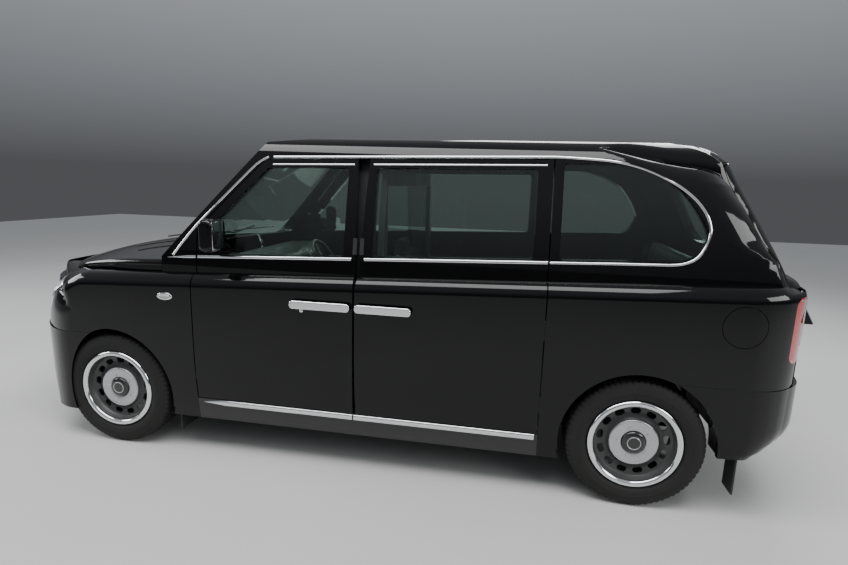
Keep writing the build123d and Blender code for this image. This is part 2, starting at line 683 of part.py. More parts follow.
driver = seat(-390, -355, 430, 500, 500, 620)
driver += Pos(-390, -75, 1120) * Box(260, 90, 170)
driver += block(-590, -190, -540, -120, cabin_floor, 432)
parts["driver_seat"] = driver

partition = block(-800, 800, 50, 84, cabin_floor, 1690) & cabin(cabin_floor, wall + 8)
partition -= block(-690, 690, 0, 100, 960, 1600)
parts["partition"] = partition
parts["partition_glass"] = block(-689.7, 689.7, 62, 68, 960.3, 1599.7)
jump = None
for x in (-480, 0, 480):
    back_rest = fillet((Pos(x, 114, 640) * Box(420, 60, 560)).edges().filter_by(Axis.Y), 40)
    cushion = fillet((Pos(x, 184, 620) * Box(400, 80, 420)).edges().filter_by(Axis.Y), 40)
    jump = back_rest + cushion if jump is None else jump + back_rest + cushion
parts["jump_seats"] = jump
bench = block(-580, 580, 1260, 1760, boot_floor, 560)
bench += fillet((Pos(0, 1480, 600) * Box(1180, 560, 120)).edges(), 26)
bench += Pos(0, 1700, 620) * Rot(-12, 0, 0) * fillet(
    Box(1180, 130, 640, align=(Align.CENTER, Align.CENTER, Align.MIN)).edges(), 26)
parts["rear_bench"] = bench

# Mud flaps, roof sign
guards = block(720, 885, front_axle_y + arch_radius + 20, front_axle_y + arch_radius + 28, 118, body_bottom)
guards += block(790, 905, 1925, 1933, 130, rear_bumper_bottom)
parts["mud_flaps"] = guards + mirrored(guards)
sign = fillet((Pos(0, -650, 1796) * Box(380, 110, 70)).edges().filter_by(Axis.Y), 24) - upper
parts["roof_sign"] = sign


def export_all():
    for name in list(parts):
        if name.endswith("_left"):
            parts[name.replace("_left", "_right")] = mirrored(parts[name])
    for name, shape in parts.items():
        export_step(shape, f"parts/{name}.step")


if __name__ == "__main__":
    export_all()
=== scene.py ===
import bpy
import bmesh
import math
from mathutils import Matrix, Vector
from mathutils.bvhtree import BVHTree
from mathutils.interpolate import poly_3d_calc


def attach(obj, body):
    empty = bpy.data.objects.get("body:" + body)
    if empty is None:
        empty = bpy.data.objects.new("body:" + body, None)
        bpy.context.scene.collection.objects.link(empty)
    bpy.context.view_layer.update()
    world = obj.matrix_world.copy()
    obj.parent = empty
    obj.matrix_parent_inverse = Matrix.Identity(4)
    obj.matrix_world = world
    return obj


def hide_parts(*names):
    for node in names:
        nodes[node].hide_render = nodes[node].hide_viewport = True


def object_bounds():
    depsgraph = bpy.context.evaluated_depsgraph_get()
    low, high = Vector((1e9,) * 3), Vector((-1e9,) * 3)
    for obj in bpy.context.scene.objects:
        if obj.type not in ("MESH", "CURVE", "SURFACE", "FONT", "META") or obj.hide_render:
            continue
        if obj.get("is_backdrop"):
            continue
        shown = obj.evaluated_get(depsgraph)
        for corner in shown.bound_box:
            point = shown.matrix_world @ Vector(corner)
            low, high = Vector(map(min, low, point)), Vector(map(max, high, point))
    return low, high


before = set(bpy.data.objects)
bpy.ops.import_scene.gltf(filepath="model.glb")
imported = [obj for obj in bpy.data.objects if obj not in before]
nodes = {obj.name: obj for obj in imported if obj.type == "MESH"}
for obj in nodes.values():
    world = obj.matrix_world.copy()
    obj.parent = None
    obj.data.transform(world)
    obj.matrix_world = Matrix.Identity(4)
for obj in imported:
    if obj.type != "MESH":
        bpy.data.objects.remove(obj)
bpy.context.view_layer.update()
view = bpy.context.scene
sides = {"left": 1, "right": -1}
print("frame loaded:", len(nodes), "nodes")


camera = {
    "place": (3.4803, 0.7891, 1.6157),
    "right": (-0.178847, 0.983469, 0.028330),
    "up": (-0.179908, -0.060998, 0.981790),
    "forward": (-0.967288, -0.170493, -0.187843),
    "focal": 513.747,      # pixels
    "picture": 848,        # pixels across
    "sensor": 36.0,        # millimetres across
}


def linked(name, data):
    piece = bpy.data.objects.new(name, data)
    view.collection.objects.link(piece)
    return piece


def meshFrom(bm, name):
    mesh = bpy.data.meshes.new(name)
    bm.to_mesh(mesh)
    bm.free()
    return mesh


def makeCamera():
    data = bpy.data.cameras.new("photoCamera")
    cam = linked("photoCamera", data)
    right, up, forward = (Vector(camera[k]).normalized() for k in ("right", "up", "forward"))
    turn = Matrix((right, up, -forward)).transposed()
    cam.matrix_world = Matrix.Translation(Vector(camera["place"])) @ turn.to_4x4()
    data.sensor_width = camera["sensor"]
    data.lens = camera["focal"] * camera["sensor"] / camera["picture"]
    data.clip_end = 200
    view.camera = cam


studio = {"sky": [(0.02, (0.15, 0.155, 0.165)), (0.45, (0.80, 0.84, 0.90))], "strength": 0.55}
softLights = [  # place, size x, size y, watts, aim point
    ((2.6, -0.5, 6.2), 7.0, 3.0, 520, (0.0, 0.0, 0.8)),
    ((-4.5, 2.0, 5.0), 5.0, 3.0, 300, (0.0, 0.0, 0.8)),
    ((1.5, -7.5, 3.6), 4.0, 2.4, 260, (0.0, -1.0, 0.8)),
    ((3.5, 7.0, 3.6), 4.0, 2.4, 220, (0.0, 1.0, 0.8)),
]


def makeStudio():
    world = bpy.data.worlds.new("studioSky")
    view.world = world
    world.use_nodes = True
    tree = world.node_tree
    tree.nodes.clear()
    out, coord, split, ramp = (addNode(tree, kind) for kind in (
        "ShaderNodeOutputWorld", "ShaderNodeTexCoord", "ShaderNodeSeparateXYZ", "ShaderNodeValToRGB"))
    back = addNode(tree, "ShaderNodeBackground", {"Strength": studio["strength"]})
    for element, (place, color) in zip(ramp.color_ramp.elements, studio["sky"]):
        element.position, element.color = place, (*color, 1)
    wire(tree, (coord, "Generated", split, 0), (split, "Z", ramp, 0), (ramp, 0, back, "Color"),
         (back, 0, out, 0))
    for number, (place, wide, deep, watts, aim) in enumerate(softLights):
        lamp = bpy.data.lights.new(f"softBox{number}", "AREA")
        lamp.shape = "RECTANGLE"
        lamp.size, lamp.size_y, lamp.energy = wide, deep, watts
        holder = linked(lamp.name, lamp)
        holder.location = place
        holder.rotation_euler = (Vector(aim) - Vector(place)).to_track_quat("-Z", "Y").to_euler()


def makeFloor(material):
    bm = bmesh.new()
    bmesh.ops.create_grid(bm, x_segments=8, y_segments=8, size=16)
    floor = linked("studioFloor", meshFrom(bm, "studioFloor"))
    floor.data.materials.append(material)
    floor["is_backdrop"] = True


def newGroup(kind, name, inputs, outputs):
    group = bpy.data.node_groups.new(name, kind)
    for label, socketKind, value in inputs:
        socket = group.interface.new_socket(name=label, in_out="INPUT", socket_type=socketKind)
        if value is not None:
            socket.default_value = value
    for label, socketKind in outputs:
        group.interface.new_socket(name=label, in_out="OUTPUT", socket_type=socketKind)
    return group, group.nodes.new("NodeGroupInput"), group.nodes.new("NodeGroupOutput")


def setInputs(node, values):
    for label, value in values.items():
        node.inputs[label].default_value = value


def addNode(tree, kind, values=None, **options):
    node = tree.nodes.new(kind)
    for key, value in options.items():
        setattr(node, key, value)
    setInputs(node, values or {})
    return node


def wire(tree, *rows):
    # each row is a node with its output, then a node with its input
    for source, output, target, socket in rows:
        tree.links.new(source.outputs[output], target.inputs[socket])


def makeGrainGroup():
    # fine grain for bump and a slow cloud for colour and gloss
    group, given, result = newGroup("ShaderNodeTree", "surfaceGrain", [
        ("Vector", "NodeSocketVector", None), ("Fine Scale", "NodeSocketFloat", 400.0),
        ("Cloud Scale", "NodeSocketFloat", 3.0),
    ], [("Height", "NodeSocketFloat"), ("Cloud", "NodeSocketFloat")])
    fine = addNode(group, "ShaderNodeTexNoise", {"Detail": 3})
    cloud = addNode(group, "ShaderNodeTexNoise", {"Detail": 4})
    wire(group, (given, "Vector", fine, "Vector"), (given, "Fine Scale", fine, "Scale"),
         (given, "Vector", cloud, "Vector"), (given, "Cloud Scale", cloud, "Scale"),
         (fine, "Fac", result, "Height"), (cloud, "Fac", result, "Cloud"))
    return group


def makeDustGroup():
    # road film that thickens towards the ground
    group, given, result = newGroup("ShaderNodeTree", "roadFilm", [
        ("Vector", "NodeSocketVector", None), ("Low", "NodeSocketFloat", 0.2),
        ("High", "NodeSocketFloat", 0.75),
    ], [("Film", "NodeSocketFloat")])
    split = addNode(group, "ShaderNodeSeparateXYZ")
    fade = addNode(group, "ShaderNodeMapRange", {"To Min": 1.0, "To Max": 0.0})
    speck = addNode(group, "ShaderNodeTexNoise", {"Scale": 9.0, "Detail": 8})
    both = addNode(group, "ShaderNodeMath", operation="MULTIPLY")
    wire(group, (given, "Vector", split, 0), (given, "Vector", speck, "Vector"), (split, "Z", fade, "Value"),
         (given, "Low", fade, "From Min"), (given, "High", fade, "From Max"), (fade, "Result", both, 0),
         (speck, "Fac", both, 1), (both, 0, result, "Film"))
    return group


grainGroup = makeGrainGroup()
dustGroup = makeDustGroup()


def placeGroup(tree, group, values):
    node = addNode(tree, "ShaderNodeGroup", values, node_tree=group)
    wire(tree, (addNode(tree, "ShaderNodeTexCoord"), "Object", node, "Vector"))
    return node


def newMaterial(name):
    material = bpy.data.materials.new(name)
    material.use_nodes = True
    nodesOf = material.node_tree.nodes
    return material, material.node_tree, nodesOf["Principled BSDF"], nodesOf["Material Output"]


def newFinish(name, dark, pale, gloss, fine, cloud, bump, depth, film=0.0, filmColor=(0.10, 0.095, 0.085),
              metal=0.0, coat=0.0, coatGloss=0.03, mirror=0.5):
    material, tree, shader, _ = newMaterial(name)
    setInputs(shader, {"Metallic": metal, "Specular IOR Level": mirror, "Coat Weight": coat,
                       "Coat Roughness": coatGloss})
    grain = placeGroup(tree, grainGroup, {"Fine Scale": fine, "Cloud Scale": cloud})
    mix = addNode(tree, "ShaderNodeMix", {"A": (*dark, 1), "B": (*pale, 1)}, data_type="RGBA")
    rough = addNode(tree, "ShaderNodeMapRange", {"From Min": 0.3, "From Max": 0.7, "To Min": gloss[0],
                                                 "To Max": gloss[1]})
    ridge = addNode(tree, "ShaderNodeBump", {"Strength": bump, "Distance": depth})
    wire(tree, (grain, "Cloud", mix, "Factor"), (grain, "Cloud", rough, "Value"),
         (grain, "Height", ridge, "Height"), (ridge, "Normal", shader, "Normal"))
    color, roughness = (mix, "Result"), (rough, "Result")
    if film:
        dust = placeGroup(tree, dustGroup, {})
        amount = addNode(tree, "ShaderNodeMath", {1: film}, operation="MULTIPLY")
        dusty = addNode(tree, "ShaderNodeMix", {"B": (*filmColor, 1)}, data_type="RGBA")
        duller = addNode(tree, "ShaderNodeMath", operation="ADD")
        wire(tree, (dust, "Film", amount, 0), (amount, 0, dusty, "Factor"), (*color, dusty, "A"),
             (*roughness, duller, 0), (amount, 0, duller, 1))
        color, roughness = (dusty, "Result"), (duller, 0)
    wire(tree, (*color, shader, "Base Color"), (*roughness, shader, "Roughness"))
    return material


def newGlass(name, tint):
    # shadow rays pass through, so daylight reaches what is behind the pane
    material, tree, shader, out = newMaterial(name)
    setInputs(shader, {"Base Color": (*tint, 1), "Roughness": 0.0, "IOR": 1.45, "Transmission Weight": 1.0})
    clear = addNode(tree, "ShaderNodeBsdfTransparent", {"Color": (*tint, 1)})
    path, mix = addNode(tree, "ShaderNodeLightPath"), addNode(tree, "ShaderNodeMixShader")
    wire(tree, (path, "Is Shadow Ray", mix, 0), (shader, 0, mix, 1), (clear, 0, mix, 2),
         (mix, 0, out, "Surface"))
    return material


finishTable = {  # dark and pale colour, range of gloss, grain, cloud, bump, its depth, further values
    "floorPale": ((0.44, 0.44, 0.43), (0.50, 0.50, 0.49), (0.55, 0.7), 40, 0.6, 0.03, 0.001, {}),
    "glossBlack": ((0.0012, 0.0012, 0.0014), (0.0020, 0.0020, 0.0022), (0.05, 0.09), 900, 2.0, 0.0, 0.0004,
                   {"mirror": 0.34}),
    "chrome": ((0.70, 0.71, 0.72), (0.84, 0.85, 0.86), (0.05, 0.13), 500, 8, 0.02, 0.0003, {"metal": 1.0}),
    "satinTrim": ((0.012, 0.012, 0.013), (0.02, 0.02, 0.021), (0.38, 0.5), 1400, 5, 0.15, 0.0003,
                  {"film": 0.25}),
    "sealRubber": ((0.009, 0.009, 0.010), (0.016, 0.016, 0.017), (0.55, 0.7), 900, 7, 0.2, 0.0004, {}),
    "tyreRubber": ((0.007, 0.007, 0.007), (0.013, 0.013, 0.0125), (0.6, 0.75), 700, 6, 0.3, 0.0005,
                   {"film": 0.16, "filmColor": (0.06, 0.056, 0.05), "mirror": 0.3}),
    "wheelSilver": ((0.42, 0.43, 0.44), (0.58, 0.59, 0.60), (0.24, 0.36), 1200, 9, 0.06, 0.0003,
                    {"metal": 0.85}),
    "wheelBlack": ((0.004, 0.004, 0.004), (0.009, 0.009, 0.009), (0.18, 0.3), 900, 8, 0.05, 0.0003,
                   {"film": 0.12, "coat": 0.6}),
    "dishGrey": ((0.030, 0.030, 0.031), (0.048, 0.048, 0.049), (0.28, 0.38), 900, 8, 0.05, 0.0003,
                 {"film": 0.1}),
    "castIron": ((0.10, 0.09, 0.085), (0.22, 0.21, 0.20), (0.35, 0.55), 500, 14, 0.2, 0.0004, {"metal": 0.9}),
    "steelBlack": ((0.010, 0.010, 0.010), (0.024, 0.023, 0.022), (0.5, 0.7), 300, 8, 0.3, 0.001,
                   {"film": 0.5}),
    "darkPlastic": ((0.016, 0.016, 0.017), (0.028, 0.028, 0.029), (0.42, 0.55), 1600, 6, 0.35, 0.0004, {}),
    "lampRed": ((0.36, 0.004, 0.006), (0.52, 0.010, 0.012), (0.06, 0.1), 300, 20, 0.05, 0.0004,
                {"coat": 1.0}),
    "lampBright": ((0.62, 0.63, 0.64), (0.80, 0.81, 0.82), (0.10, 0.2), 700, 20, 0.05, 0.0004,
                   {"metal": 0.9}),
    "lampAmber": ((0.60, 0.20, 0.015), (0.72, 0.28, 0.03), (0.15, 0.25), 300, 20, 0.05, 0.0004,
                  {"coat": 0.8}),
    "seatHide": ((0.016, 0.016, 0.018), (0.034, 0.034, 0.036), (0.38, 0.52), 420, 9, 0.5, 0.0006,
                 {"coat": 0.1, "coatGloss": 0.35}),
    "plateBlank": ((0.55, 0.55, 0.53), (0.64, 0.64, 0.62), (0.28, 0.36), 600, 12, 0.05, 0.0003, {}),
    "plateYellow": ((0.62, 0.45, 0.05), (0.70, 0.52, 0.08), (0.28, 0.36), 600, 12, 0.05, 0.0003, {}),
    "mirrorFace": ((0.80, 0.81, 0.82), (0.86, 0.87, 0.88), (0.01, 0.02), 60, 3, 0.0, 0.0002, {"metal": 1.0}),
    "lensGrey": ((0.30, 0.30, 0.30), (0.42, 0.42, 0.42), (0.12, 0.2), 300, 20, 0.05, 0.0004, {"coat": 0.8}),
}
finishes = {name: newFinish(name, *row, **more) for name, (*row, more) in finishTable.items()}
finishes["tintGlass"] = newGlass("tintGlass", (0.62, 0.74, 0.68))


def paint(piece, finish):
    piece.data.materials.clear()
    piece.data.materials.append(finishes[finish])


print("materials made:", len(finishes))


def addPiece(name, mesh, finish, body):
    piece = linked(name, mesh)
    paint(piece, finish)
    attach(piece, body)
    return piece


def meshOf(bm, name, smooth=None):
    bmesh.ops.recalc_face_normals(bm, faces=bm.faces)
    for face in bm.faces:
        face.smooth = smooth is not None
    mesh = meshFrom(bm, name)
    if smooth is not None:
        mesh.set_sharp_from_angle(angle=math.radians(smooth))
    return mesh


def hardened(piece):
    # bakes the modifiers in, so that the piece is a plain mesh
    graph = bpy.context.evaluated_depsgraph_get()
    graph.update()
    mesh = bpy.data.meshes.new_from_object(piece.evaluated_get(graph), depsgraph=graph)
    old = piece.data
    piece.modifiers.clear()
    piece.data = mesh
    bpy.data.meshes.remove(old)


def joinRings(bm, rings):
    # faces between each ring of points and the next
    for here, there in zip(rings, rings[1:]):
        for k in range(len(here)):
            n = (k + 1) % len(here)
            bm.faces.new((here[k], here[n], there[n], there[k]))


def lathe(rows, steps):
    # rows of distance along X and radius, in metres
    bm = bmesh.new()
    rings = []
    for step in range(steps):
        angle = 2 * math.pi * step / steps
        rings.append([bm.verts.new((x, r * math.cos(angle), r * math.sin(angle))) for x, r in rows])
    joinRings(bm, rings + rings[:1])
    bmesh.ops.remove_doubles(bm, verts=bm.verts, dist=1e-6)
    bmesh.ops.dissolve_degenerate(bm, edges=bm.edges, dist=1e-7)
    return bm


shellMesh = {}


def skinTree(names):
    # a ray target made of several CAD nodes, or of their eased copies once these are made
    points, faces = [], []
    for name in names:
        mesh = shellMesh.get(name) or nodes[name].data
        base = len(points)
        points += [v.co.copy() for v in mesh.vertices]
        faces += [[base + k for k in p.vertices] for p in mesh.polygons]
    return BVHTree.FromPolygons(points, faces)


ease = {
    "tailStart": 0.95, "tailWaist": 1.16, "tailCorner": 0.28, "waistFade": 0.25, "roofShoulder": 0.30,
    "shoulderFade": 0.75, "noseStart": -1.45, "noseFade": 0.85, "noseBow": 0.150, "halfWidth": 0.93,
    "noseRadius": 0.36, "faceHalf": 0.40, "faceFade": 0.30, "chinHeight": 0.60, "chinFade": 0.12,
    "wingLift": 0.004, "skirtRadius": 0.22, "skirtFade": 0.30, "bumperProud": 0.010, "leastShare": 0.88,
    "smallest": 0.001, "skirtStart": 0.1,
}
scan = {  # first place, step and count of the rays that measure the CAD's outline
    "height": (1.16, 0.03, 19), "roof": (0.9, 0.04, 31), "front": (0.0, 0.04, 23), "wing": (-2.12, 0.05, 18),
}
beyond = 3.0           # farther out than any surface, where a ray starts
beside = 1.3           # farther out than the flanks, where a ray starts
nearMiddle = 0.02      # just beside the middle plane
rayAt = {"flank": (1.5, 0.99), "front": 0.71, "wing": 0.74}
cadSkin = skinTree(["front_door_left", "rear_door_left", "quarter_left", "roof", "tailgate", "tailgate_glass",
                    "wing_left", "nose_panel", "bonnet", "grille", "screen_frame", "rear_door_glass_left"])


def hitAlong(tree, start, way):
    return tree.ray_cast(Vector(start), Vector(way))[0]


def lookUp(rows, at):
    # rows of place and value, read with straight lines between them
    if at <= rows[0][0]:
        return rows[0][1]
    for (a, u), (b, v) in zip(rows, rows[1:]):
        if at <= b:
            return u + (v - u) * (at - a) / (b - a)
    return rows[-1][1]


def stepUp(value):
    value = min(1.0, max(0.0, value))
    return value * value * (3 - 2 * value)


def measured(kind, ray, axis):
    first, step, count = scan[kind]
    rows = []
    for k in range(count):
        at = first + step * k
        place = ray(at)
        if place:
            rows.append((at, abs(place[axis]) if axis == 0 else place[axis]))
    return rows


tailRows = measured("height", lambda z: hitAlong(cadSkin, (nearMiddle, beyond, z), (0, -1, 0)), 1)
flankRows = measured("height", lambda z: hitAlong(cadSkin, (*rayAt["flank"], z), (-1, 0, 0)), 0)
roofRows = measured("roof", lambda y: hitAlong(cadSkin, (nearMiddle, y, beyond), (0, 0, -1)), 2)
frontRows = measured("front", lambda x: hitAlong(cadSkin, (x, -beyond, rayAt["front"]), (0, 1, 0)), 1)
wingRows = measured("wing", lambda y: hitAlong(cadSkin, (rayAt["wing"], y, beyond), (0, 0, -1)), 2)


def roundedPair(radius, a, b):
    # depths from two faces, drawn onto a round edge of this radius
    qa, qb = radius - a, radius - b
    if qa <= 0 or qb <= 0:
        return a, b
    shrink = max(qa, qb) / math.hypot(qa, qb)
    return radius - qa * shrink, radius - qb * shrink


def easedTail(place):
    x, y, z = place
    if y < ease["tailStart"] or z < ease["tailWaist"]:
        return place
    sign = 1 if x >= 0 else -1
    rear, flank = lookUp(tailRows, z), lookUp(flankRows, z)
    radius = ease["tailCorner"] * stepUp((z - ease["tailWaist"]) / ease["waistFade"])
    if radius > ease["smallest"]:
        a, c = roundedPair(radius, rear - y, flank - abs(x))
        y, x = rear - a, sign * (flank - c)
    radius = ease["roofShoulder"] * stepUp((y - ease["tailStart"]) / ease["shoulderFade"])
    if radius > ease["smallest"]:
        top = lookUp(roofRows, y)
        b, c = roundedPair(radius, top - z, flank - abs(x))
        z, x = top - b, sign * (flank - c)
    return Vector((x, y, z))


def easedNose(place):
    x, y, z = place
    if y > ease["noseStart"]:
        return place
    radius = ease["noseRadius"] * stepUp((abs(x) - ease["faceHalf"]) / ease["faceFade"])
    radius *= stepUp((z - ease["chinHeight"]) / ease["chinFade"])
    if radius > ease["smallest"]:
        nose, top = lookUp(frontRows, abs(x)), lookUp(wingRows, y) + ease["wingLift"]
        a, b = roundedPair(radius, y - nose, top - z)
        y, z = nose + a, top - b
    bow = stepUp((ease["noseStart"] - y) / ease["noseFade"]) * ease["noseBow"]
    y += bow * (abs(x) / ease["halfWidth"]) ** 2
    return Vector((x, y, z))


def eased(place):
    return easedNose(easedTail(place))


def cutFine(bm, rows, above):
    # cuts what lies above a height along even planes, so that it can bend
    for axis, low, high, step in rows:
        normal = Vector((axis == 0, axis == 1, axis == 2))
        for k in range(int(round((high - low) / step)) + 1):
            at = normal * (low + k * step)
            faces = [face for face in bm.faces if max(v.co.z for v in face.verts) > above]
            edges = {edge for face in faces for edge in face.edges}
            verts = {vert for face in faces for vert in face.verts}
            bmesh.ops.bisect_plane(bm, geom=list(verts) + list(edges) + faces, dist=1e-5, plane_co=at,
                                   plane_no=normal)


noseCuts = [(1, -2.42, -1.46, 0.06), (0, -0.9, 0.9, 0.075), (2, 0.66, 1.10, 0.055)]
cutRows = {  # axis, first place, last place and step of each set of cuts
    "tail": [(1, 0.96, 2.24, 0.04), (2, 1.16, 1.86, 0.05), (0, -0.84, 0.84, 0.06)],
    "nose": noseCuts, "grille": noseCuts[1:2], "lamp": noseCuts[1:], "none": [],
    "skirt": [(2, 0.20, 0.68, 0.04), (0, -0.9, 0.9, 0.075), (1, -2.42, -1.74, 0.05), (1, 1.66, 2.42, 0.05)],
}
cutAbove = {"tail": 1.17, "skirt": 0.0}
lowestNoseCut = 0.60
shell = {  # the cuts and the body of each eased node
    "roof": ("tail", "cab_body"), "screen_frame": ("none", "cab_body"), "bonnet": ("nose", "bonnet_lid"),
    "nose_panel": ("nose", "cab_body"), "grille": ("grille", "cab_body"),
    "front_bumper": ("skirt", "cab_body"), "rear_bumper": ("skirt", "cab_body"),
    "tailgate": ("tail", "tailgate_lid"), "wing_left": ("nose", "cab_body"),
    "wing_right": ("nose", "cab_body"), "quarter_left": ("tail", "cab_body"),
    "quarter_right": ("tail", "cab_body"), "quarter_glass": ("tail", "cab_body"),
    "tailgate_glass": ("tail", "tailgate_lid"),
    "headlamps": ("lamp", "cab_body"), "tail_lamps": ("none", "cab_body"),
}
bumperSkin = skinTree(["front_bumper", "rear_bumper"])


polarSpec = {"reach": 2.2, "step": 3, "first": 2, "last": 30, "body": 0.74, "bumper": 0.60, "rounds": 5}


def polar(tree, mid, height, angle):
    # distance from the middle to the eased surface
    way = Vector((math.cos(angle), math.sin(angle), 0))
    centre = Vector((0, mid, height))
    place = hitAlong(tree, centre + way * polarSpec["reach"], -way)
    return (easedNose(place) - centre).length if place else None


def shareRows(mid, turn):
    # how far the bumper draws in towards the body, by angle from the flank to the end, evened out
    rows = []
    for k in range(polarSpec["first"], polarSpec["last"] + 1):
        angle = math.radians(polarSpec["step"] * k)
        body = polar(cadSkin, mid, polarSpec["body"], turn * angle)
        own = polar(bumperSkin, mid, polarSpec["bumper"], turn * angle)
        if body and own:
            rows.append((angle, min(1.0, max(ease["leastShare"], (body + ease["bumperProud"]) / own))))
    for _ in range(polarSpec["rounds"]):
        rows = [rows[0]] + [(rows[k][0], (rows[k - 1][1] + rows[k][1] + rows[k + 1][1]) / 3)
                            for k in range(1, len(rows) - 1)] + [rows[-1]]
    return rows


bumperSpec = {True: {"mid": -1.45, "low": 0.195, "round": 1.0, "from": 0.52},
              False: {"mid": 1.30, "low": 0.330, "round": 0.75, "from": 0.62}}
for isFront, spec in bumperSpec.items():
    spec["rows"] = shareRows(spec["mid"], -1 if isFront else 1)


def skirted(place, front):
    # draws a bumper to the body's outline and rounds it in towards the road
    spec = bumperSpec[front]
    mid, x, y = spec["mid"], place.x, place.y
    if (mid - y if front else y - mid) < ease["skirtStart"]:
        return place
    place = easedNose(place)
    share = lookUp(spec["rows"], math.atan2(abs(y - mid), abs(x)))
    place = Vector((place.x * share, mid + (place.y - mid) * share, place.z))
    radius = ease["skirtRadius"] * spec["round"]
    rise = place.z - spec["low"]
    if rise < radius:
        inset = radius - math.sqrt(max(0.0, radius ** 2 - (radius - rise) ** 2))
        reach = stepUp((abs(place.y - mid) - spec["from"]) / ease["skirtFade"])
        place = place - Vector((place.x, place.y - mid, 0)).normalized() * inset * reach
    return place


def bentNormals(mesh, cad, rest, bend):
    # the CAD surface's own normals, turned as the bend turns the surface
    tree = BVHTree.FromPolygons([v.co for v in cad.vertices], [list(p.vertices) for p in cad.polygons])
    cadNormals = [corner.vector.copy() for corner in cad.corner_normals]
    nudge = 0.0008
    frames = []
    for place in rest:
        home = bend(place.copy())
        columns = []
        for axis in range(3):
            moved = place.copy()
            moved[axis] += nudge
            columns.append((bend(moved) - home) / nudge)
        turn = Matrix(columns).transposed()
        try:
            frames.append(turn.inverted().transposed())
        except ValueError:
            frames.append(Matrix.Identity(3))
    normals = [Vector((0, 0, 1))] * len(mesh.loops)
    for face in mesh.polygons:
        middle = sum((rest[k] for k in face.vertices), Vector()) / len(face.vertices)
        index = tree.find_nearest(middle)[2]
        source = cad.polygons[index]
        corners = [cad.vertices[k].co for k in source.vertices]
        given = [cadNormals[k] for k in source.loop_indices]
        for loop in face.loop_indices:
            vertex = mesh.loops[loop].vertex_index
            shares = poly_3d_calc(corners, rest[vertex])
            normal = sum((n * w for n, w in zip(given, shares)), Vector())
            if normal.length < 1e-6:
                normal = source.normal.copy()
            normals[loop] = (frames[vertex] @ normal).normalized()
    return normals


def shellCopy(node):
    mesh = nodes[node].data.copy()
    mesh.name = f"{node}.skin"
    bm = bmesh.new()
    bm.from_mesh(mesh)
    bmesh.ops.remove_doubles(bm, verts=bm.verts, dist=2e-6)
    kind = shell[node][0]
    cutFine(bm, cutRows[kind], cutAbove.get(kind, lowestNoseCut))
    bend = (lambda place: skirted(place, node == "front_bumper")) if kind == "skirt" else eased
    bmesh.ops.dissolve_degenerate(bm, edges=bm.edges, dist=1e-6)
    for face in bm.faces:
        face.smooth = True
    rest = [vert.co.copy() for vert in bm.verts]
    bm.to_mesh(mesh)
    bm.free()
    normals = bentNormals(mesh, nodes[node].data, rest, bend)
    for vert, place in zip(mesh.vertices, rest):
        vert.co = bend(place.copy())
    mesh.normals_split_custom_set(normals)
    return mesh


shellMesh = {name: shellCopy(name) for name in shell}
print("shell eased")


def bothSides(*names):
    return [f"{name}_{side}" for name in names for side in sides]


sideSkin = {side: skinTree([f"{name}_{side}" for name in (
    "front_door", "rear_door", "quarter", "wing", "front_door_glass", "rear_door_glass")] + [
    "quarter_glass", "screen_frame", "roof", "sills", "front_bumper", "rear_bumper"]) for side in sides}
endSkin = skinTree(["nose_panel", "bonnet", *bothSides("wing"), "front_bumper", "rear_bumper", "tailgate",
                    *bothSides("quarter"), "tailgate_glass", "windscreen", "screen_frame", "grille",
                    "headlamps", "tail_lamps"])


def castOn(tree, start, way):
    # the first place on the surface, and its normal turned to face the ray
    way = Vector(way)
    place, normal, _, _ = tree.ray_cast(Vector(start), way)
    if place is None:
        return None, None
    return place, normal if normal.dot(way) < 0 else -normal


def onSide(y, z, side):
    return castOn(sideSkin[side], (sides[side] * beside, y, z), (-sides[side], 0, 0))


def onEnd(x, z, end):
    return castOn(endSkin, (x, end * beyond, z), (0, -end, 0))


def softened(points, rounds=2):
    for _ in range(rounds):
        points = [points[0]] + [(points[k - 1] + points[k] * 2 + points[k + 1]) / 4
                                for k in range(1, len(points) - 1)] + [points[-1]]
    return points


def spread(corners, step):
    # even points along straight runs between the corners
    out = []
    for a, b in zip(corners, corners[1:]):
        a, b = Vector(a), Vector(b)
        count = max(1, round((b - a).length / step))
        out += [a.lerp(b, k / count) for k in range(count)]
    return out + [Vector(corners[-1])]


def stripMesh(name, places, outs, section, pointed, tipSteps=4, tipWidth=0.15):
    # section: rows of across and out, in metres, swept along the places
    bm = bmesh.new()
    rings = []
    total = len(places)
    for k in range(total):
        ahead = places[min(k + 1, total - 1)] - places[max(k - 1, 0)]
        ahead.normalize()
        out = (outs[k] - ahead * outs[k].dot(ahead)).normalized()
        across = ahead.cross(out)
        thin = tipWidth + (1 - tipWidth) * k / tipSteps if pointed and k < tipSteps else 1.0
        rings.append([bm.verts.new(places[k] + across * u * thin + out * v) for u, v in section])
    joinRings(bm, rings)
    bm.faces.new(rings[0])
    bm.faces.new(rings[-1])
    return meshOf(bm, name, 40)


def halfRound(width, proud, sink=0.002, steps=6):
    rows = [(-width / 2, -sink)]
    for k in range(steps + 1):
        angle = math.pi * k / steps
        rows.append((-width / 2 * math.cos(angle), proud * math.sin(angle)))
    rows.append((width / 2, -sink))
    return rows


def strip(name, spots, cast, rounds, width, proud, finish, body, pointed=False):
    places, outs = [], []
    for spot in spots:
        place, normal = cast(spot)
        if place is not None:
            places.append(place)
            outs.append(normal)
    mesh = stripMesh(name, softened(places, rounds), softened(outs), halfRound(width, proud), pointed)
    addPiece(name, mesh, finish, body)


def sideStrip(name, corners, side, width, proud, finish, body, pointed=False):
    spots = softened(spread([Vector((0, y, z)) for y, z in corners], 0.03), 1)
    strip(name, spots, lambda spot: onSide(spot.y, spot.z, side), 2, width, proud, finish, body,
          pointed)


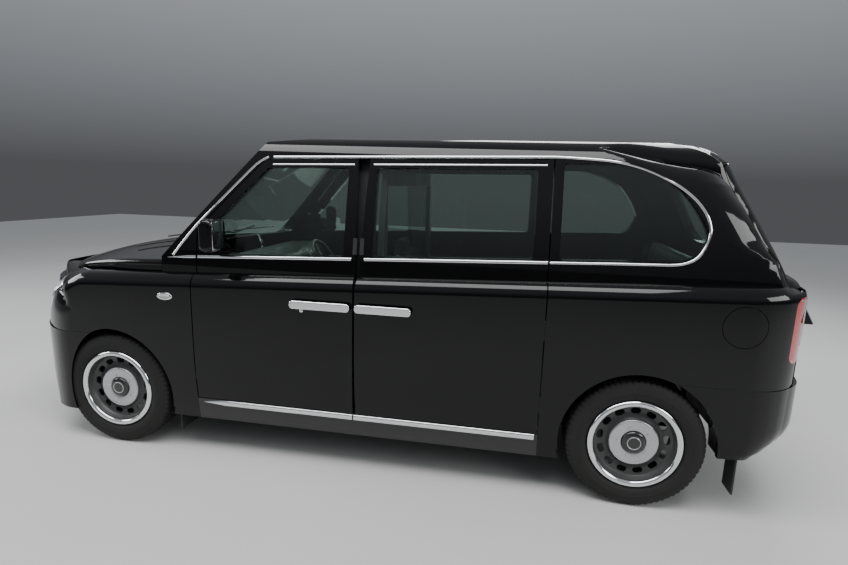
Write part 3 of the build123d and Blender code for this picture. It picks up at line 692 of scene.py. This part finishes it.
nodeFinish = {
    "glossBlack": ["roof", "screen_frame", "bonnet", "nose_panel", "front_bumper", "rear_bumper", "tailgate",
                   "charge_flap", *bothSides("wing", "quarter", "front_door", "rear_door", "mirror")],
    "chrome": ["grille", *bothSides("front_door_handle", "rear_door_handle")],
    "tintGlass": ["windscreen", "tailgate_glass", "quarter_glass", "partition_glass",
                  *bothSides("front_door_glass", "rear_door_glass")],
    "steelBlack": ["front_subframe", "rear_axle", "engine_block", "battery_pack", "floor_pan",
                   *bothSides("knuckle")],
    "satinTrim": ["sills", "pillar_hoop", "partition"],
    "darkPlastic": ["bulkhead", "dashboard", "steering_wheel"],
    "sealRubber": ["mud_flaps"],
    "lampAmber": ["roof_sign"],
    "lampRed": ["tail_lamps"],
    "lampBright": ["headlamps"],
    "seatHide": ["driver_seat", "rear_bench", "jump_seats"],
    "wheelBlack": bothSides("front_rim", "rear_rim"),
    "tyreRubber": bothSides("front_tyre", "rear_tyre"),
}
for finish, names in nodeFinish.items():
    for name in names:
        paint(nodes[name], finish)

for name, mesh in shellMesh.items():
    finish = next(key for key, names in nodeFinish.items() if name in names)
    skin = addPiece(f"{name}.skin", mesh, finish, shell[name][1])
    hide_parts(name)
# the right flank has no charging flap, so a plain patch fills that place in the panel
patchGrowth = 1.055
patch = nodes["charge_flap"].data.copy()
middle = sum((v.co for v in patch.vertices), Vector()) / len(patch.vertices)
for vert in patch.vertices:
    away = vert.co - middle
    vert.co = Vector((-vert.co.x, middle.y + away.y * patchGrowth, middle.z + away.z * patchGrowth))
patch.flip_normals()
addPiece("flankPatch", patch, "glossBlack", "cab_body")

print("nodes finished")


wheelSpec = {
    "steps": 120, "slots": 13, "slotRing": 0.166, "slotLong": 0.050, "slotWide": 0.032, "slotSides": 24,
    "slotDepth": (0.02, 0.12), "lugs": 5, "lugTurn": 0.3, "lugPlace": (0.0715, 0, 0.078),
    "lugLow": 0.0095, "lugHigh": 0.0088, "lugDeep": 0.006,
}
wheelPlaces = {
    "front_wheel_left": (0.815, -1.538, 0.345, 1), "front_wheel_right": (-0.815, -1.538, 0.345, -1),
    "rear_wheel_left": (0.815, 1.447, 0.345, 1), "rear_wheel_right": (-0.815, 1.447, 0.345, -1),
}


def rounded(rows, radius):
    # cuts each corner of a profile back a little, so that it catches light
    out = []
    count = len(rows)
    for k, (x, r) in enumerate(rows):
        here = Vector((x, r))
        for other in (Vector(rows[k - 1]), Vector(rows[(k + 1) % count])):
            way = other - here
            cut = min(radius, way.length * 0.4)
            out.append(tuple(here + way.normalized() * cut))
    return out


def slotCutter():
    spec = wheelSpec
    bm = bmesh.new()
    sideCount = spec["slotSides"]
    for place in range(spec["slots"]):
        turn = Matrix.Rotation(2 * math.pi * place / spec["slots"], 4, "X")
        rim = []
        half, reach = spec["slotWide"] / 2, (spec["slotLong"] - spec["slotWide"]) / 2
        for k in range(sideCount):
            angle = 2 * math.pi * k / sideCount
            across = half * math.cos(angle) + (reach if math.cos(angle) >= 0 else -reach)
            rim.append((across, spec["slotRing"] + half * math.sin(angle)))
        near, far = ([bm.verts.new(turn @ Vector((x, y, z))) for y, z in rim] for x in spec["slotDepth"])
        bm.faces.new(near)
        bm.faces.new(far)
        joinRings(bm, [near, far])
    return meshOf(bm, "slotCutter")


def turned(name, rows, radius, steps, sharp=35):
    # a ring or disc from a profile in millimetres, its corners cut back by the radius
    rows = [(x / 1000, r / 1000) for x, r in rows]
    return meshOf(lathe(rounded(rows, radius) if radius else rows, steps), name, sharp)


def makeDish():
    rows = [(92, 203), (54, 194), (46, 159), (54, 134), (66, 123), (60, 119), (46, 131), (38, 158), (44, 198),
            (84, 210)]
    dish = linked("dishDraft", turned("dishDraft", rows, 0.002, wheelSpec["steps"]))
    cutter = linked("slotCutter", slotCutter())
    cut = dish.modifiers.new("slots", "BOOLEAN")
    cut.operation, cut.solver, cut.object = "DIFFERENCE", "EXACT", cutter
    hardened(dish)
    mesh = dish.data
    bpy.data.objects.remove(dish)
    bpy.data.objects.remove(cutter)
    return mesh


def makeLugs():
    spec = wheelSpec
    bm = bmesh.new()
    for place in range(spec["lugs"]):
        turn = Matrix.Rotation(2 * math.pi * place / spec["lugs"] + spec["lugTurn"], 4, "X")
        turn = turn @ Matrix.Translation(spec["lugPlace"]) @ Matrix.Rotation(math.pi / 2, 4, "Y")
        bmesh.ops.create_cone(bm, cap_ends=True, segments=6, radius1=spec["lugLow"], radius2=spec["lugHigh"],
                              depth=spec["lugDeep"], matrix=turn)
    return meshOf(bm, "lugs", 25)


wheelMeshes = {
    "barrel": (turned("barrel", [(-90, 234), (-84, 234), (-82, 221), (60, 214), (84, 221), (86, 229),
                                 (80, 214), (46, 205), (-84, 215), (-92, 228)], 0, 96), "wheelBlack"),
    "trimRing": (turned("trimRing", [(83, 236), (95, 236), (103, 229), (105, 222), (104, 212), (98, 205),
                                     (90, 202), (82, 208)], 0.0015, 120), "chrome"),
    "dish": (makeDish(), "dishGrey"),
    "disc": (turned("disc", [(64, 124), (72, 121), (74, 112), (71, 102), (71, 64), (64, 58)], 0.002, 96),
             "wheelSilver"),
    "lugs": (makeLugs(), "wheelSilver"),
    "cap": (turned("cap", [(60, 60), (74, 59), (80, 52), (83, 36), (83, 0), (60, 0)], 0.002, 72),
            "wheelBlack"),
    "capRing": (turned("capRing", [(82, 35), (85, 34.4), (85, 30.5), (82, 30)], 0.0006, 72), "wheelSilver"),
    "brakeDisc": (turned("brakeDisc", [(-12, 150), (12, 150), (12, 70), (32, 68), (32, 0), (-12, 0)], 0.001,
                         96, 30), "castIron"),
}

tyreSpec = {"steps": 288, "block": 4, "sipe": 0.0055}
tyreRows = [  # one half: millimetres from the middle plane, radius, and 1 where the tread is cut across
    (83.4, 222.5, 0), (84.5, 236, 0), (93, 238.5, 0), (100, 246, 0), (104.5, 256, 0), (106.5, 266, 0),
    (107.3, 276, 0), (107.3, 279, 0), (108.2, 280, 0), (108.2, 283, 0), (107.2, 284, 0), (106.5, 294, 0),
    (104.5, 306, 0), (101.5, 317, 0), (98.0, 326, 1), (93.0, 334, 1), (87, 339.5, 1), (80, 342.2, 1),
    (70, 343.8, 1), (61, 344.4, 0), (60, 337, 0), (54, 337, 0), (53, 344.6, 0), (40, 345, 1), (27, 345, 1),
    (21, 345, 0), (20, 337, 0), (13, 337, 0), (12, 345, 0),
]


def makeTyre():
    rows = [(-x, r, cut) for x, r, cut in tyreRows] + tyreRows[::-1]
    bm = bmesh.new()
    rings = []
    for step in range(tyreSpec["steps"]):
        angle = 2 * math.pi * step / tyreSpec["steps"]
        ring = []
        for x, r, cut in rows:
            shift = 2 if x > 0 else 0
            deep = tyreSpec["sipe"] if cut and (step + shift) % tyreSpec["block"] == 0 else 0
            radius = r / 1000 - deep
            ring.append(bm.verts.new((x / 1000, radius * math.cos(angle), radius * math.sin(angle))))
        rings.append(ring)
    joinRings(bm, rings + rings[:1])
    return meshOf(bm, "tyre", 32)


tyreMesh = makeTyre()
for body, (x, y, z, sign) in wheelPlaces.items():
    corner, _, side = body.split("_")
    settle = Matrix.Translation((x, y, z)) @ Matrix.Rotation(0 if sign > 0 else math.pi, 4, "Z")
    for kind, (mesh, finish) in wheelMeshes.items():
        placed = mesh.copy()
        placed.transform(settle)
        piece = addPiece(f"{body}.{kind}", placed, finish, body)
        if kind == "dish":
            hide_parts(f"{corner}_rim_{side}")
    placed = tyreMesh.copy()
    placed.transform(settle)
    tyre = addPiece(f"{body}.tyre", placed, "tyreRubber", body)
    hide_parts(f"{corner}_tyre_{side}")
print("wheels made")


def beltAt(y):
    return 1.2105 + 0.036 * y


def gutterAt(y):
    return 1.745 + 0.018 * y


def endStrip(name, corners, end, width, proud, finish, body, step=0.03):
    spots = spread([Vector((x, 0, z)) for x, z in corners], step)
    strip(name, spots, lambda spot: onEnd(spot.x, spot.z, end), 1, width, proud, finish, body)


def ringOnEnd(name, middle, radius, end, width, proud, finish, body, steps=48):
    corners = [(middle[0] + radius * math.cos(2 * math.pi * k / steps),
                middle[1] + radius * math.sin(2 * math.pi * k / steps)) for k in range(steps + 1)]
    endStrip(name, corners, end, width, proud, finish, body, 0.05)


def buttonOnSide(name, y, z, side, long, tall, proud, finish, body):
    # a low oval dome lying on the flank
    place, normal = onSide(y, z, side)
    bm = bmesh.new()
    bmesh.ops.create_uvsphere(bm, u_segments=36, v_segments=18, radius=1.0)
    along = Vector((0, 1, 0))
    along = (along - normal * along.dot(normal)).normalized()
    up = normal.cross(along)
    for vert in bm.verts:
        a, b, c = vert.co
        vert.co = place + along * a * long / 2 + up * b * tall / 2 + normal * c * proud
    addPiece(name, meshOf(bm, name, 60), finish, body)


lineKinds = {  # width and height of each kind of line along the flank
    "belt": (0.017, 0.0045), "pillar": (0.013, 0.0045), "arch": (0.014, 0.0045), "visor": (0.009, 0.003),
    "sill": (0.034, 0.006), "crease": (0.006, 0.001), "seal": (0.022, 0.0012),
}
visorDrop, sillLine, sealLow, sealHigh = 0.034, 0.326, 1.235, 1.70
flankLines = [  # name, corners (y, z), kind, finish, body
    ("cowlBelt", [(-1.170, beltAt(-1.12) - 0.006), (-0.992, beltAt(-0.992))], "belt", "chrome", "cab_body"),
    ("frontBelt", [(-0.980, beltAt(-0.980)), (-0.043, beltAt(-0.043))], "belt", "chrome", "front_door_body"),
    ("rearBelt", [(-0.031, beltAt(-0.031)), (0.955, beltAt(0.955))], "belt", "chrome", "rear_door_body"),
    ("pillarLine", [(-1.135, 1.180), (-1.012, 1.335), (-0.640, 1.722), (-0.590, 1.741)], "pillar", "chrome",
     "cab_body"),
    ("windowArch", [
        (0.965, beltAt(0.965)), (1.30, beltAt(1.30)), (1.585, beltAt(1.585) - 0.002), (1.66, 1.30),
        (1.712, 1.405), (1.695, 1.50), (1.635, 1.580), (1.552, 1.645), (1.45, 1.700), (1.34, 1.738),
        (1.22, 1.758), (0.98, gutterAt(0.98) + 0.008), (-0.56, gutterAt(-0.56) + 0.006),
    ], "arch", "chrome", "cab_body"),
    ("frontVisor", [(-0.560, gutterAt(-0.56) - visorDrop), (-0.060, gutterAt(-0.06) - visorDrop)], "visor",
     "chrome", "front_door_body"),
    ("rearVisor", [(-0.012, gutterAt(0) - visorDrop), (0.925, gutterAt(0.925) - visorDrop)], "visor",
     "chrome", "rear_door_body"),
    ("frontSill", [(-0.950, sillLine), (-0.048, sillLine)], "sill", "chrome", "cab_body"),
    ("rearSill", [(-0.040, sillLine), (0.945, sillLine)], "sill", "chrome", "cab_body"),
    ("noseCrease", [(-2.16, 0.700), (-2.02, 0.690)], "crease", "satinTrim", "cab_body"),
]
pointedLines = ("cowlBelt", "frontSill")
sealLines = [  # the rubbers on both sides of the gap between the doors
    ("doorSeal.front", [(-0.0565, sealLow), (-0.0565, sealHigh)], "seal", "satinTrim", "front_door_body"),
    ("doorSeal.rear", [(-0.0175, sealLow), (-0.0175, sealHigh)], "seal", "satinTrim", "rear_door_body"),
]
flankButtons = [  # name, y, z, length, height, proud, finish, body, slot
    ("repeaterRim", -1.154, 0.949, 0.096, 0.042, 0.005, "chrome", "cab_body", None),
    ("repeater", -1.154, 0.949, 0.080, 0.028, 0.010, "lensGrey", "cab_body", "lamp_clear"),
    ("doorKey", -0.330, 0.925, 0.020, 0.020, 0.003, "chrome", "front_door_body", None),
]
headLamp = {"x": 0.712, "z": 0.868, "rings": [("outer", 0.106, 0.011, 0.005), ("inner", 0.066, 0.006, 0.004)]}
tailOutline = {  # ends (x, z) of each run of the bright line round the lamp
    "runs": [((0.772, 0.83), (0.772, 1.128)), ((0.772, 1.128), (0.846, 1.128)),
             ((0.772, 0.83), (0.846, 0.83))],
    "wide": 0.009, "proud": 0.004,
}


def bodyOn(body, side):
    return f"{body}_{side}" if body.endswith("door_body") else body


def drawLines(rows, side):
    for name, corners, kind, finish, body in rows:
        sideStrip(f"{name}.{side}", corners, side, *lineKinds[kind], finish, bodyOn(body, side),
                  pointed=name in pointedLines)


for side, sign in sides.items():
    drawLines(flankLines, side)
    for name, y, z, long, tall, proud, finish, body, slot in flankButtons:
        buttonOnSide(f"{name}.{side}", y, z, side, long, tall, proud, finish, bodyOn(body, side))
    drawLines(sealLines, side)
    for ring, radius, wide, proud in headLamp["rings"]:
        ringOnEnd(f"headRing.{ring}.{side}", (sign * headLamp["x"], headLamp["z"]), radius, -1, wide, proud,
                  "chrome", "cab_body")
    for k, (low, high) in enumerate(tailOutline["runs"]):
        endStrip(f"tailOutline.{k}.{side}", [(sign * low[0], low[1]), (sign * high[0], high[1])], 1,
                 tailOutline["wide"], tailOutline["proud"], "lampBright", "cab_body", 0.03)
print("trim made")


def makeSweepTree():
    # a round line swept along the guide's edges
    tree, given, result = newGroup("GeometryNodeTree", "sweptLine", [
        ("Geometry", "NodeSocketGeometry", None), ("Radius", "NodeSocketFloat", 0.002),
        ("Sides", "NodeSocketInt", 8), ("Material", "NodeSocketMaterial", None),
    ], [("Geometry", "NodeSocketGeometry")])
    curve, circle, real, finish = (addNode(tree, kind) for kind in (
        "GeometryNodeMeshToCurve", "GeometryNodeCurvePrimitiveCircle", "GeometryNodeRealizeInstances",
        "GeometryNodeSetMaterial"))
    sweep = addNode(tree, "GeometryNodeCurveToMesh", {"Fill Caps": True})
    wire(tree, (given, "Geometry", curve, "Mesh"), (given, "Sides", circle, "Resolution"),
         (given, "Radius", circle, "Radius"), (curve, "Curve", sweep, "Curve"),
         (circle, "Curve", sweep, "Profile Curve"), (sweep, "Mesh", real, "Geometry"),
         (real, "Geometry", finish, "Geometry"), (given, "Material", finish, "Material"),
         (finish, "Geometry", result, "Geometry"))
    return tree


def makeRowTree():
    # a row of equal bars
    tree, given, result = newGroup("GeometryNodeTree", "rowOfBars", [
        ("Count", "NodeSocketInt", None), ("Start", "NodeSocketVector", None),
        ("Step", "NodeSocketVector", None), ("Size", "NodeSocketVector", None),
        ("Material", "NodeSocketMaterial", None),
    ], [("Geometry", "NodeSocketGeometry")])
    line, bar, put, real, finish = (addNode(tree, kind) for kind in (
        "GeometryNodeMeshLine", "GeometryNodeMeshCube", "GeometryNodeInstanceOnPoints",
        "GeometryNodeRealizeInstances", "GeometryNodeSetMaterial"))
    wire(tree, (given, "Count", line, "Count"), (given, "Start", line, "Start Location"),
         (given, "Step", line, "Offset"), (given, "Size", bar, "Size"), (line, "Mesh", put, "Points"),
         (bar, "Mesh", put, "Instance"), (put, "Instances", real, "Geometry"),
         (real, "Geometry", finish, "Geometry"), (given, "Material", finish, "Material"),
         (finish, "Geometry", result, "Geometry"))
    return tree


sweepTree, rowTree = makeSweepTree(), makeRowTree()


def grown(name, tree, guide, values, finish, body):
    # runs a node tree on the guide and keeps the plain mesh that it gives
    piece = linked(name, guide)
    grow = piece.modifiers.new("grow", "NODES")
    grow.node_group = tree
    values = {**values, "Material": finishes[finish]}
    for item in tree.interface.items_tree:
        if item.in_out == "INPUT" and item.name in values:
            grow[item.identifier] = values[item.name]
    hardened(piece)
    for face in piece.data.polygons:
        face.use_smooth = True
    piece.data.set_sharp_from_angle(angle=math.radians(40))
    paint(piece, finish)
    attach(piece, body)


def swept(name, lines, radius, finish, body, sides=8, closed=False):
    bm = bmesh.new()
    for line in lines:
        row = [bm.verts.new(place) for place in line]
        for a, b in zip(row, row[1:]):
            bm.edges.new((a, b))
        if closed:
            bm.edges.new((row[-1], row[0]))
    grown(name, sweepTree, meshFrom(bm, name), {"Radius": radius, "Sides": sides}, finish, body)


def barRow(name, count, start, step, size, finish, body):
    guide = bpy.data.meshes.new(name)
    values = {"Count": count, "Start": start, "Step": step, "Size": size}
    grown(name, rowTree, guide, values, finish, body)


def boxMesh(name, middle, size, bevel=0.003):
    bm = bmesh.new()
    bmesh.ops.create_cube(bm, size=1.0)
    for vert in bm.verts:
        vert.co = Vector((vert.co.x * size[0], vert.co.y * size[1], vert.co.z * size[2]))
    bmesh.ops.bevel(bm, geom=bm.edges[:], offset=bevel, segments=3, profile=0.5, affect="EDGES")
    for vert in bm.verts:
        vert.co = vert.co + Vector(middle)
    return meshOf(bm, name, 30)


def surfaceLine(corners, end, lift, step=0.03):
    line = []
    for spot in spread([Vector((x, 0, z)) for x, z in corners], step):
        place, normal = onEnd(spot.x, spot.z, end)
        if place:
            line.append(place + normal * lift)
    return line


front, rear = -1, 1
heatedSpec = {"low": 1.31, "high": 1.62, "count": 12, "half": 0.50, "radius": 0.0006, "lift": 0.0004,
              "step": 0.05}


def heatedLine(k):
    spec = heatedSpec
    z = spec["low"] + (spec["high"] - spec["low"]) * k / (spec["count"] - 1)
    return surfaceLine([(-spec["half"], z), (spec["half"], z)], rear, spec["lift"], spec["step"])


swept("heatedLines", [heatedLine(k) for k in range(heatedSpec["count"])], heatedSpec["radius"], "castIron",
      "tailgate_lid", sides=4)
endStrip("tailgateGrip", [(-0.30, 0.985), (0.30, 0.985)], rear, 0.030, 0.012, "chrome", "tailgate_lid")
endStrip("highLamp", [(-0.16, 1.695), (0.16, 1.695)], rear, 0.022, 0.008, "lampRed", "tailgate_lid")
wiperRods = [  # name, corners (x, z), end, height off the surface, radius, finish, body
    ("rearWiper", [(0.0, 1.235), (0.02, 1.275), (0.36, 1.325)], rear, 0.014, 0.005, "satinTrim",
     "tailgate_lid"),
    ("rearBlade", [(0.06, 1.280), (0.42, 1.335)], rear, 0.006, 0.0035, "sealRubber", "tailgate_lid"),
    ("wiperArm.0", [(0.52, 1.150), (0.12, 1.235)], front, 0.018, 0.006, "satinTrim", "cab_body"),
    ("wiperBlade.0", [(-0.10, 1.222), (0.38, 1.222)], front, 0.007, 0.004, "sealRubber", "cab_body"),
    ("wiperArm.1", [(-0.06, 1.150), (-0.40, 1.235)], front, 0.018, 0.006, "satinTrim", "cab_body"),
    ("wiperBlade.1", [(-0.62, 1.222), (-0.16, 1.222)], front, 0.007, 0.004, "sealRubber", "cab_body"),
]
for name, corners, end, lift, radius, finish, body in wiperRods:
    swept(name, [surfaceLine(corners, end, lift)], radius, finish, body)

plates = {
    "long": 0.520, "tall": 0.111, "thick": 0.004, "edge": 0.016, "gap": 0.004, "proud": 0.006,
    "round": 0.0012, "faceReach": 0.2, "backReach": 0.25, "highReach": 0.05,
    "rows": [("front", front, 0.455, "plateBlank", "cab_body"),
             ("rear", rear, 0.855, "plateYellow", "tailgate_lid")],
}


def plateDepths(reach, height, end):
    # how far out the surface lies behind a plate
    return [end * onEnd(x * reach, height + z * plates["highReach"], end)[0].y
            for x in (-1, 0, 1) for z in (-1, 0, 1)]


for name, end, height, finish, body in plates["rows"]:
    face = max(plateDepths(plates["faceReach"], height, end))
    back = min(plateDepths(plates["backReach"], height, end))
    long, tall, gap = plates["long"], plates["tall"], plates["gap"]
    mount = (long + plates["edge"], face - back + 2 * gap, tall + plates["edge"])
    addPiece(f"plateMount.{name}", boxMesh("plateMount", (0, end * (face + back + gap) / 2, height), mount),
             "darkPlastic", body)
    blank = boxMesh("plate", (0, end * (face + plates["proud"]), height), (long, plates["thick"], tall),
                    plates["round"])
    addPiece(f"plate.{name}", blank, finish, body)
fogLamp = {"x": 0.60, "z": 0.345, "proud": 0.006,
           "rings": [("rim", 0.050, 0.012, "chrome"), ("lens", 0.026, 0.034, "lensGrey")]}
for side, sign in sides.items():
    for ring, radius, wide, finish in fogLamp["rings"]:
        ringOnEnd(f"fogLamp.{ring}.{side}", (sign * fogLamp["x"], fogLamp["z"]), radius, front, wide,
                  fogLamp["proud"], finish, "cab_body", 32)
    ringOnEnd(f"headBowl.{side}", (sign * headLamp["x"], headLamp["z"]), 0.028, front, 0.040, 0.010,
              "lensGrey", "cab_body", 32)
lowerSlats = {"count": 4, "half": 0.44, "low": 0.270, "step": 0.034, "wide": 0.016, "proud": 0.004}
for k in range(lowerSlats["count"]):
    z = lowerSlats["low"] + lowerSlats["step"] * k
    endStrip(f"lowerSlat.{k}", [(-lowerSlats["half"], z), (lowerSlats["half"], z)], front, lowerSlats["wide"],
             lowerSlats["proud"], "satinTrim", "cab_body", 0.05)
print("ends dressed")


seats = {"grid": 22, "round": 0.035, "pinch": 0.035, "crown": 0.16, "channel": 0.007, "sewn": 0.035,
         "piping": 0.0032, "pipingSteps": 64, "pipingCorner": 0.28, "pipingInset": 0.012, "pipingSink": 0.010}


def cushionMesh(name, size, middle, turn, channels, across, flatLow, faceAxis):
    # a crowned pad: the sides pull in between the corners, channels are sewn along the face
    steps = seats["grid"]
    bm = bmesh.new()
    bmesh.ops.create_cube(bm, size=2.0)
    bmesh.ops.subdivide_edges(bm, edges=bm.edges[:], cuts=steps, use_grid_fill=True)
    others = [axis for axis in range(3) if axis != faceAxis]
    for vert in bm.verts:
        unit = vert.co.copy()
        half = [size[axis] / 2 for axis in range(3)]
        soft = min(seats["round"], min(half) * 0.8)
        spot = Vector([unit[axis] * half[axis] for axis in range(3)])
        core = Vector([max(-(half[axis] - soft), min(half[axis] - soft, spot[axis])) for axis in range(3)])
        away = spot - core
        if away.length > 1e-6:
            reach = max(abs(away[axis]) for axis in range(3))
            spot = core + away.normalized() * reach
        u, v = unit[others[0]], unit[others[1]]
        spot[others[0]] *= 1 - seats["pinch"] * (1 - v * v)
        spot[others[1]] *= 1 - seats["pinch"] * (1 - u * u)
        top = unit[faceAxis]
        if top > 0 or not flatLow:
            rise = (1 - seats["crown"]) + seats["crown"] * (1 - u * u) * (1 - v * v)
            spot[faceAxis] *= rise
            dip = sum(math.exp(-((u - at) / seats["sewn"]) ** 2) for at in channels)
            dip += sum(math.exp(-((v - at) / seats["sewn"]) ** 2) for at in across)
            spot[faceAxis] -= math.copysign(seats["channel"] * min(1.0, dip) * stepUp(abs(top) * 3 - 2), top)
        vert.co = (turn @ spot if turn else spot) + Vector(middle)
    return meshOf(bm, name, 60)


def pipingLine(size, middle, turn, faceAxis):
    # the seam round the pad's face
    others = [axis for axis in range(3) if axis != faceAxis]
    inset, pinch = seats["pipingInset"], seats["pinch"]
    line = []
    for k in range(seats["pipingSteps"]):
        angle = 2 * math.pi * k / seats["pipingSteps"]
        u, v = (math.copysign(abs(c) ** seats["pipingCorner"], c) for c in (math.cos(angle), math.sin(angle)))
        spot = Vector((0, 0, 0))
        spot[others[0]] = u * (size[others[0]] / 2 - inset) * (1 - pinch * (1 - v * v))
        spot[others[1]] = v * (size[others[1]] / 2 - inset) * (1 - pinch * (1 - u * u))
        spot[faceAxis] = size[faceAxis] / 2 * (1 - seats["crown"]) - seats["pipingSink"]
        line.append((turn @ spot if turn else spot) + Vector(middle))
    return line


def makePad(name, size, middle, turn=None, channels=(), across=(), faceAxis=2, flatLow=True, replaced=None):
    mesh = cushionMesh(name, size, middle, turn, channels, across, flatLow, faceAxis)
    pad = addPiece(name, mesh, "seatHide", "cab_body")
    if replaced:
        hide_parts(replaced)
    swept(f"{name}.seam", [pipingLine(size, middle, turn, faceAxis)], seats["piping"], "sealRubber",
          "cab_body", 6, True)


def lean(degrees):
    return Matrix.Rotation(math.radians(-degrees), 3, "X")


halfTurn = Matrix.Rotation(math.pi, 3, "Z")
driverBack = Vector((-0.390, -0.165, 0.520)) + lean(14) @ Vector((0, 0, 0.31))
benchBack = Vector((0, 1.700, 0.620)) + lean(12) @ Vector((0, 0, 0.32))
ribs = tuple(-0.9 + 0.2 * k for k in range(10))
bolsters = (-0.62, 0.62)
makePad("driverCushion", (0.490, 0.490, 0.126), (-0.390, -0.355, 0.494), None, bolsters, (-0.2, 0.25),
        replaced="driver_seat")
makePad("driverBack", (0.480, 0.112, 0.606), driverBack, halfTurn @ lean(-14), bolsters, (-0.3, 0.2),
        faceAxis=1, flatLow=False)
makePad("headRest", (0.254, 0.086, 0.164), (-0.390, -0.075, 1.120), halfTurn, faceAxis=1, flatLow=False)
addPiece("seatPlinth", boxMesh("seatPlinth", (-0.390, -0.330, 0.386), (0.396, 0.416, 0.090), 0.008),
         "darkPlastic", "cab_body")
for number, x in enumerate((-0.480, 0.0, 0.480)):
    makePad(f"flipBack.{number}", (0.412, 0.056, 0.552), (x, 0.114, 0.640), faceAxis=1, flatLow=False,
            replaced="jump_seats" if number == 0 else None)
    makePad(f"flipCushion.{number}", (0.392, 0.074, 0.412), (x, 0.184, 0.620), None, (-0.33, 0.33),
            faceAxis=1)
makePad("benchCushion", (1.170, 0.552, 0.116), (0, 1.480, 0.600), None, ribs, replaced="rear_bench")
makePad("benchBack", (1.170, 0.124, 0.632), benchBack, halfTurn @ lean(-12), ribs, faceAxis=1, flatLow=False)
addPiece("benchPlinth", boxMesh("benchPlinth", (0, 1.510, 0.528), (1.156, 0.496, 0.026), 0.004),
         "darkPlastic", "cab_body")
print("seats made")

doorPull = {"x": 0.848, "z": 0.900, "size": (0.030, 0.300, 0.045), "edge": 0.010,
            "rows": [("front", -0.520, "darkPlastic"), ("rear", 0.460, "satinTrim")]}
for side, sign in sides.items():
    face = boxMesh("mirrorFace", (sign * 0.955, -0.7925, 1.312), (0.106, 0.003, 0.150), 0.0012)
    addPiece(f"mirrorFace.{side}", face, "mirrorFace", f"front_door_body_{side}")
    for door, y, finish in doorPull["rows"]:
        addPiece(f"doorPull.{door}.{side}", boxMesh("doorPull", (sign * doorPull["x"], y, doorPull["z"]),
                                                    doorPull["size"], doorPull["edge"]), finish,
                 f"{door}_door_body_{side}")
barRow("dashVents", 9, (0.16, -0.848, 0.985), (0.030, 0, 0), (0.022, 0.006, 0.040), "satinTrim", "cab_body")
print("cabin dressed")


makeCamera()
makeStudio()
makeFloor(finishes["floorPale"])

low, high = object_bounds()
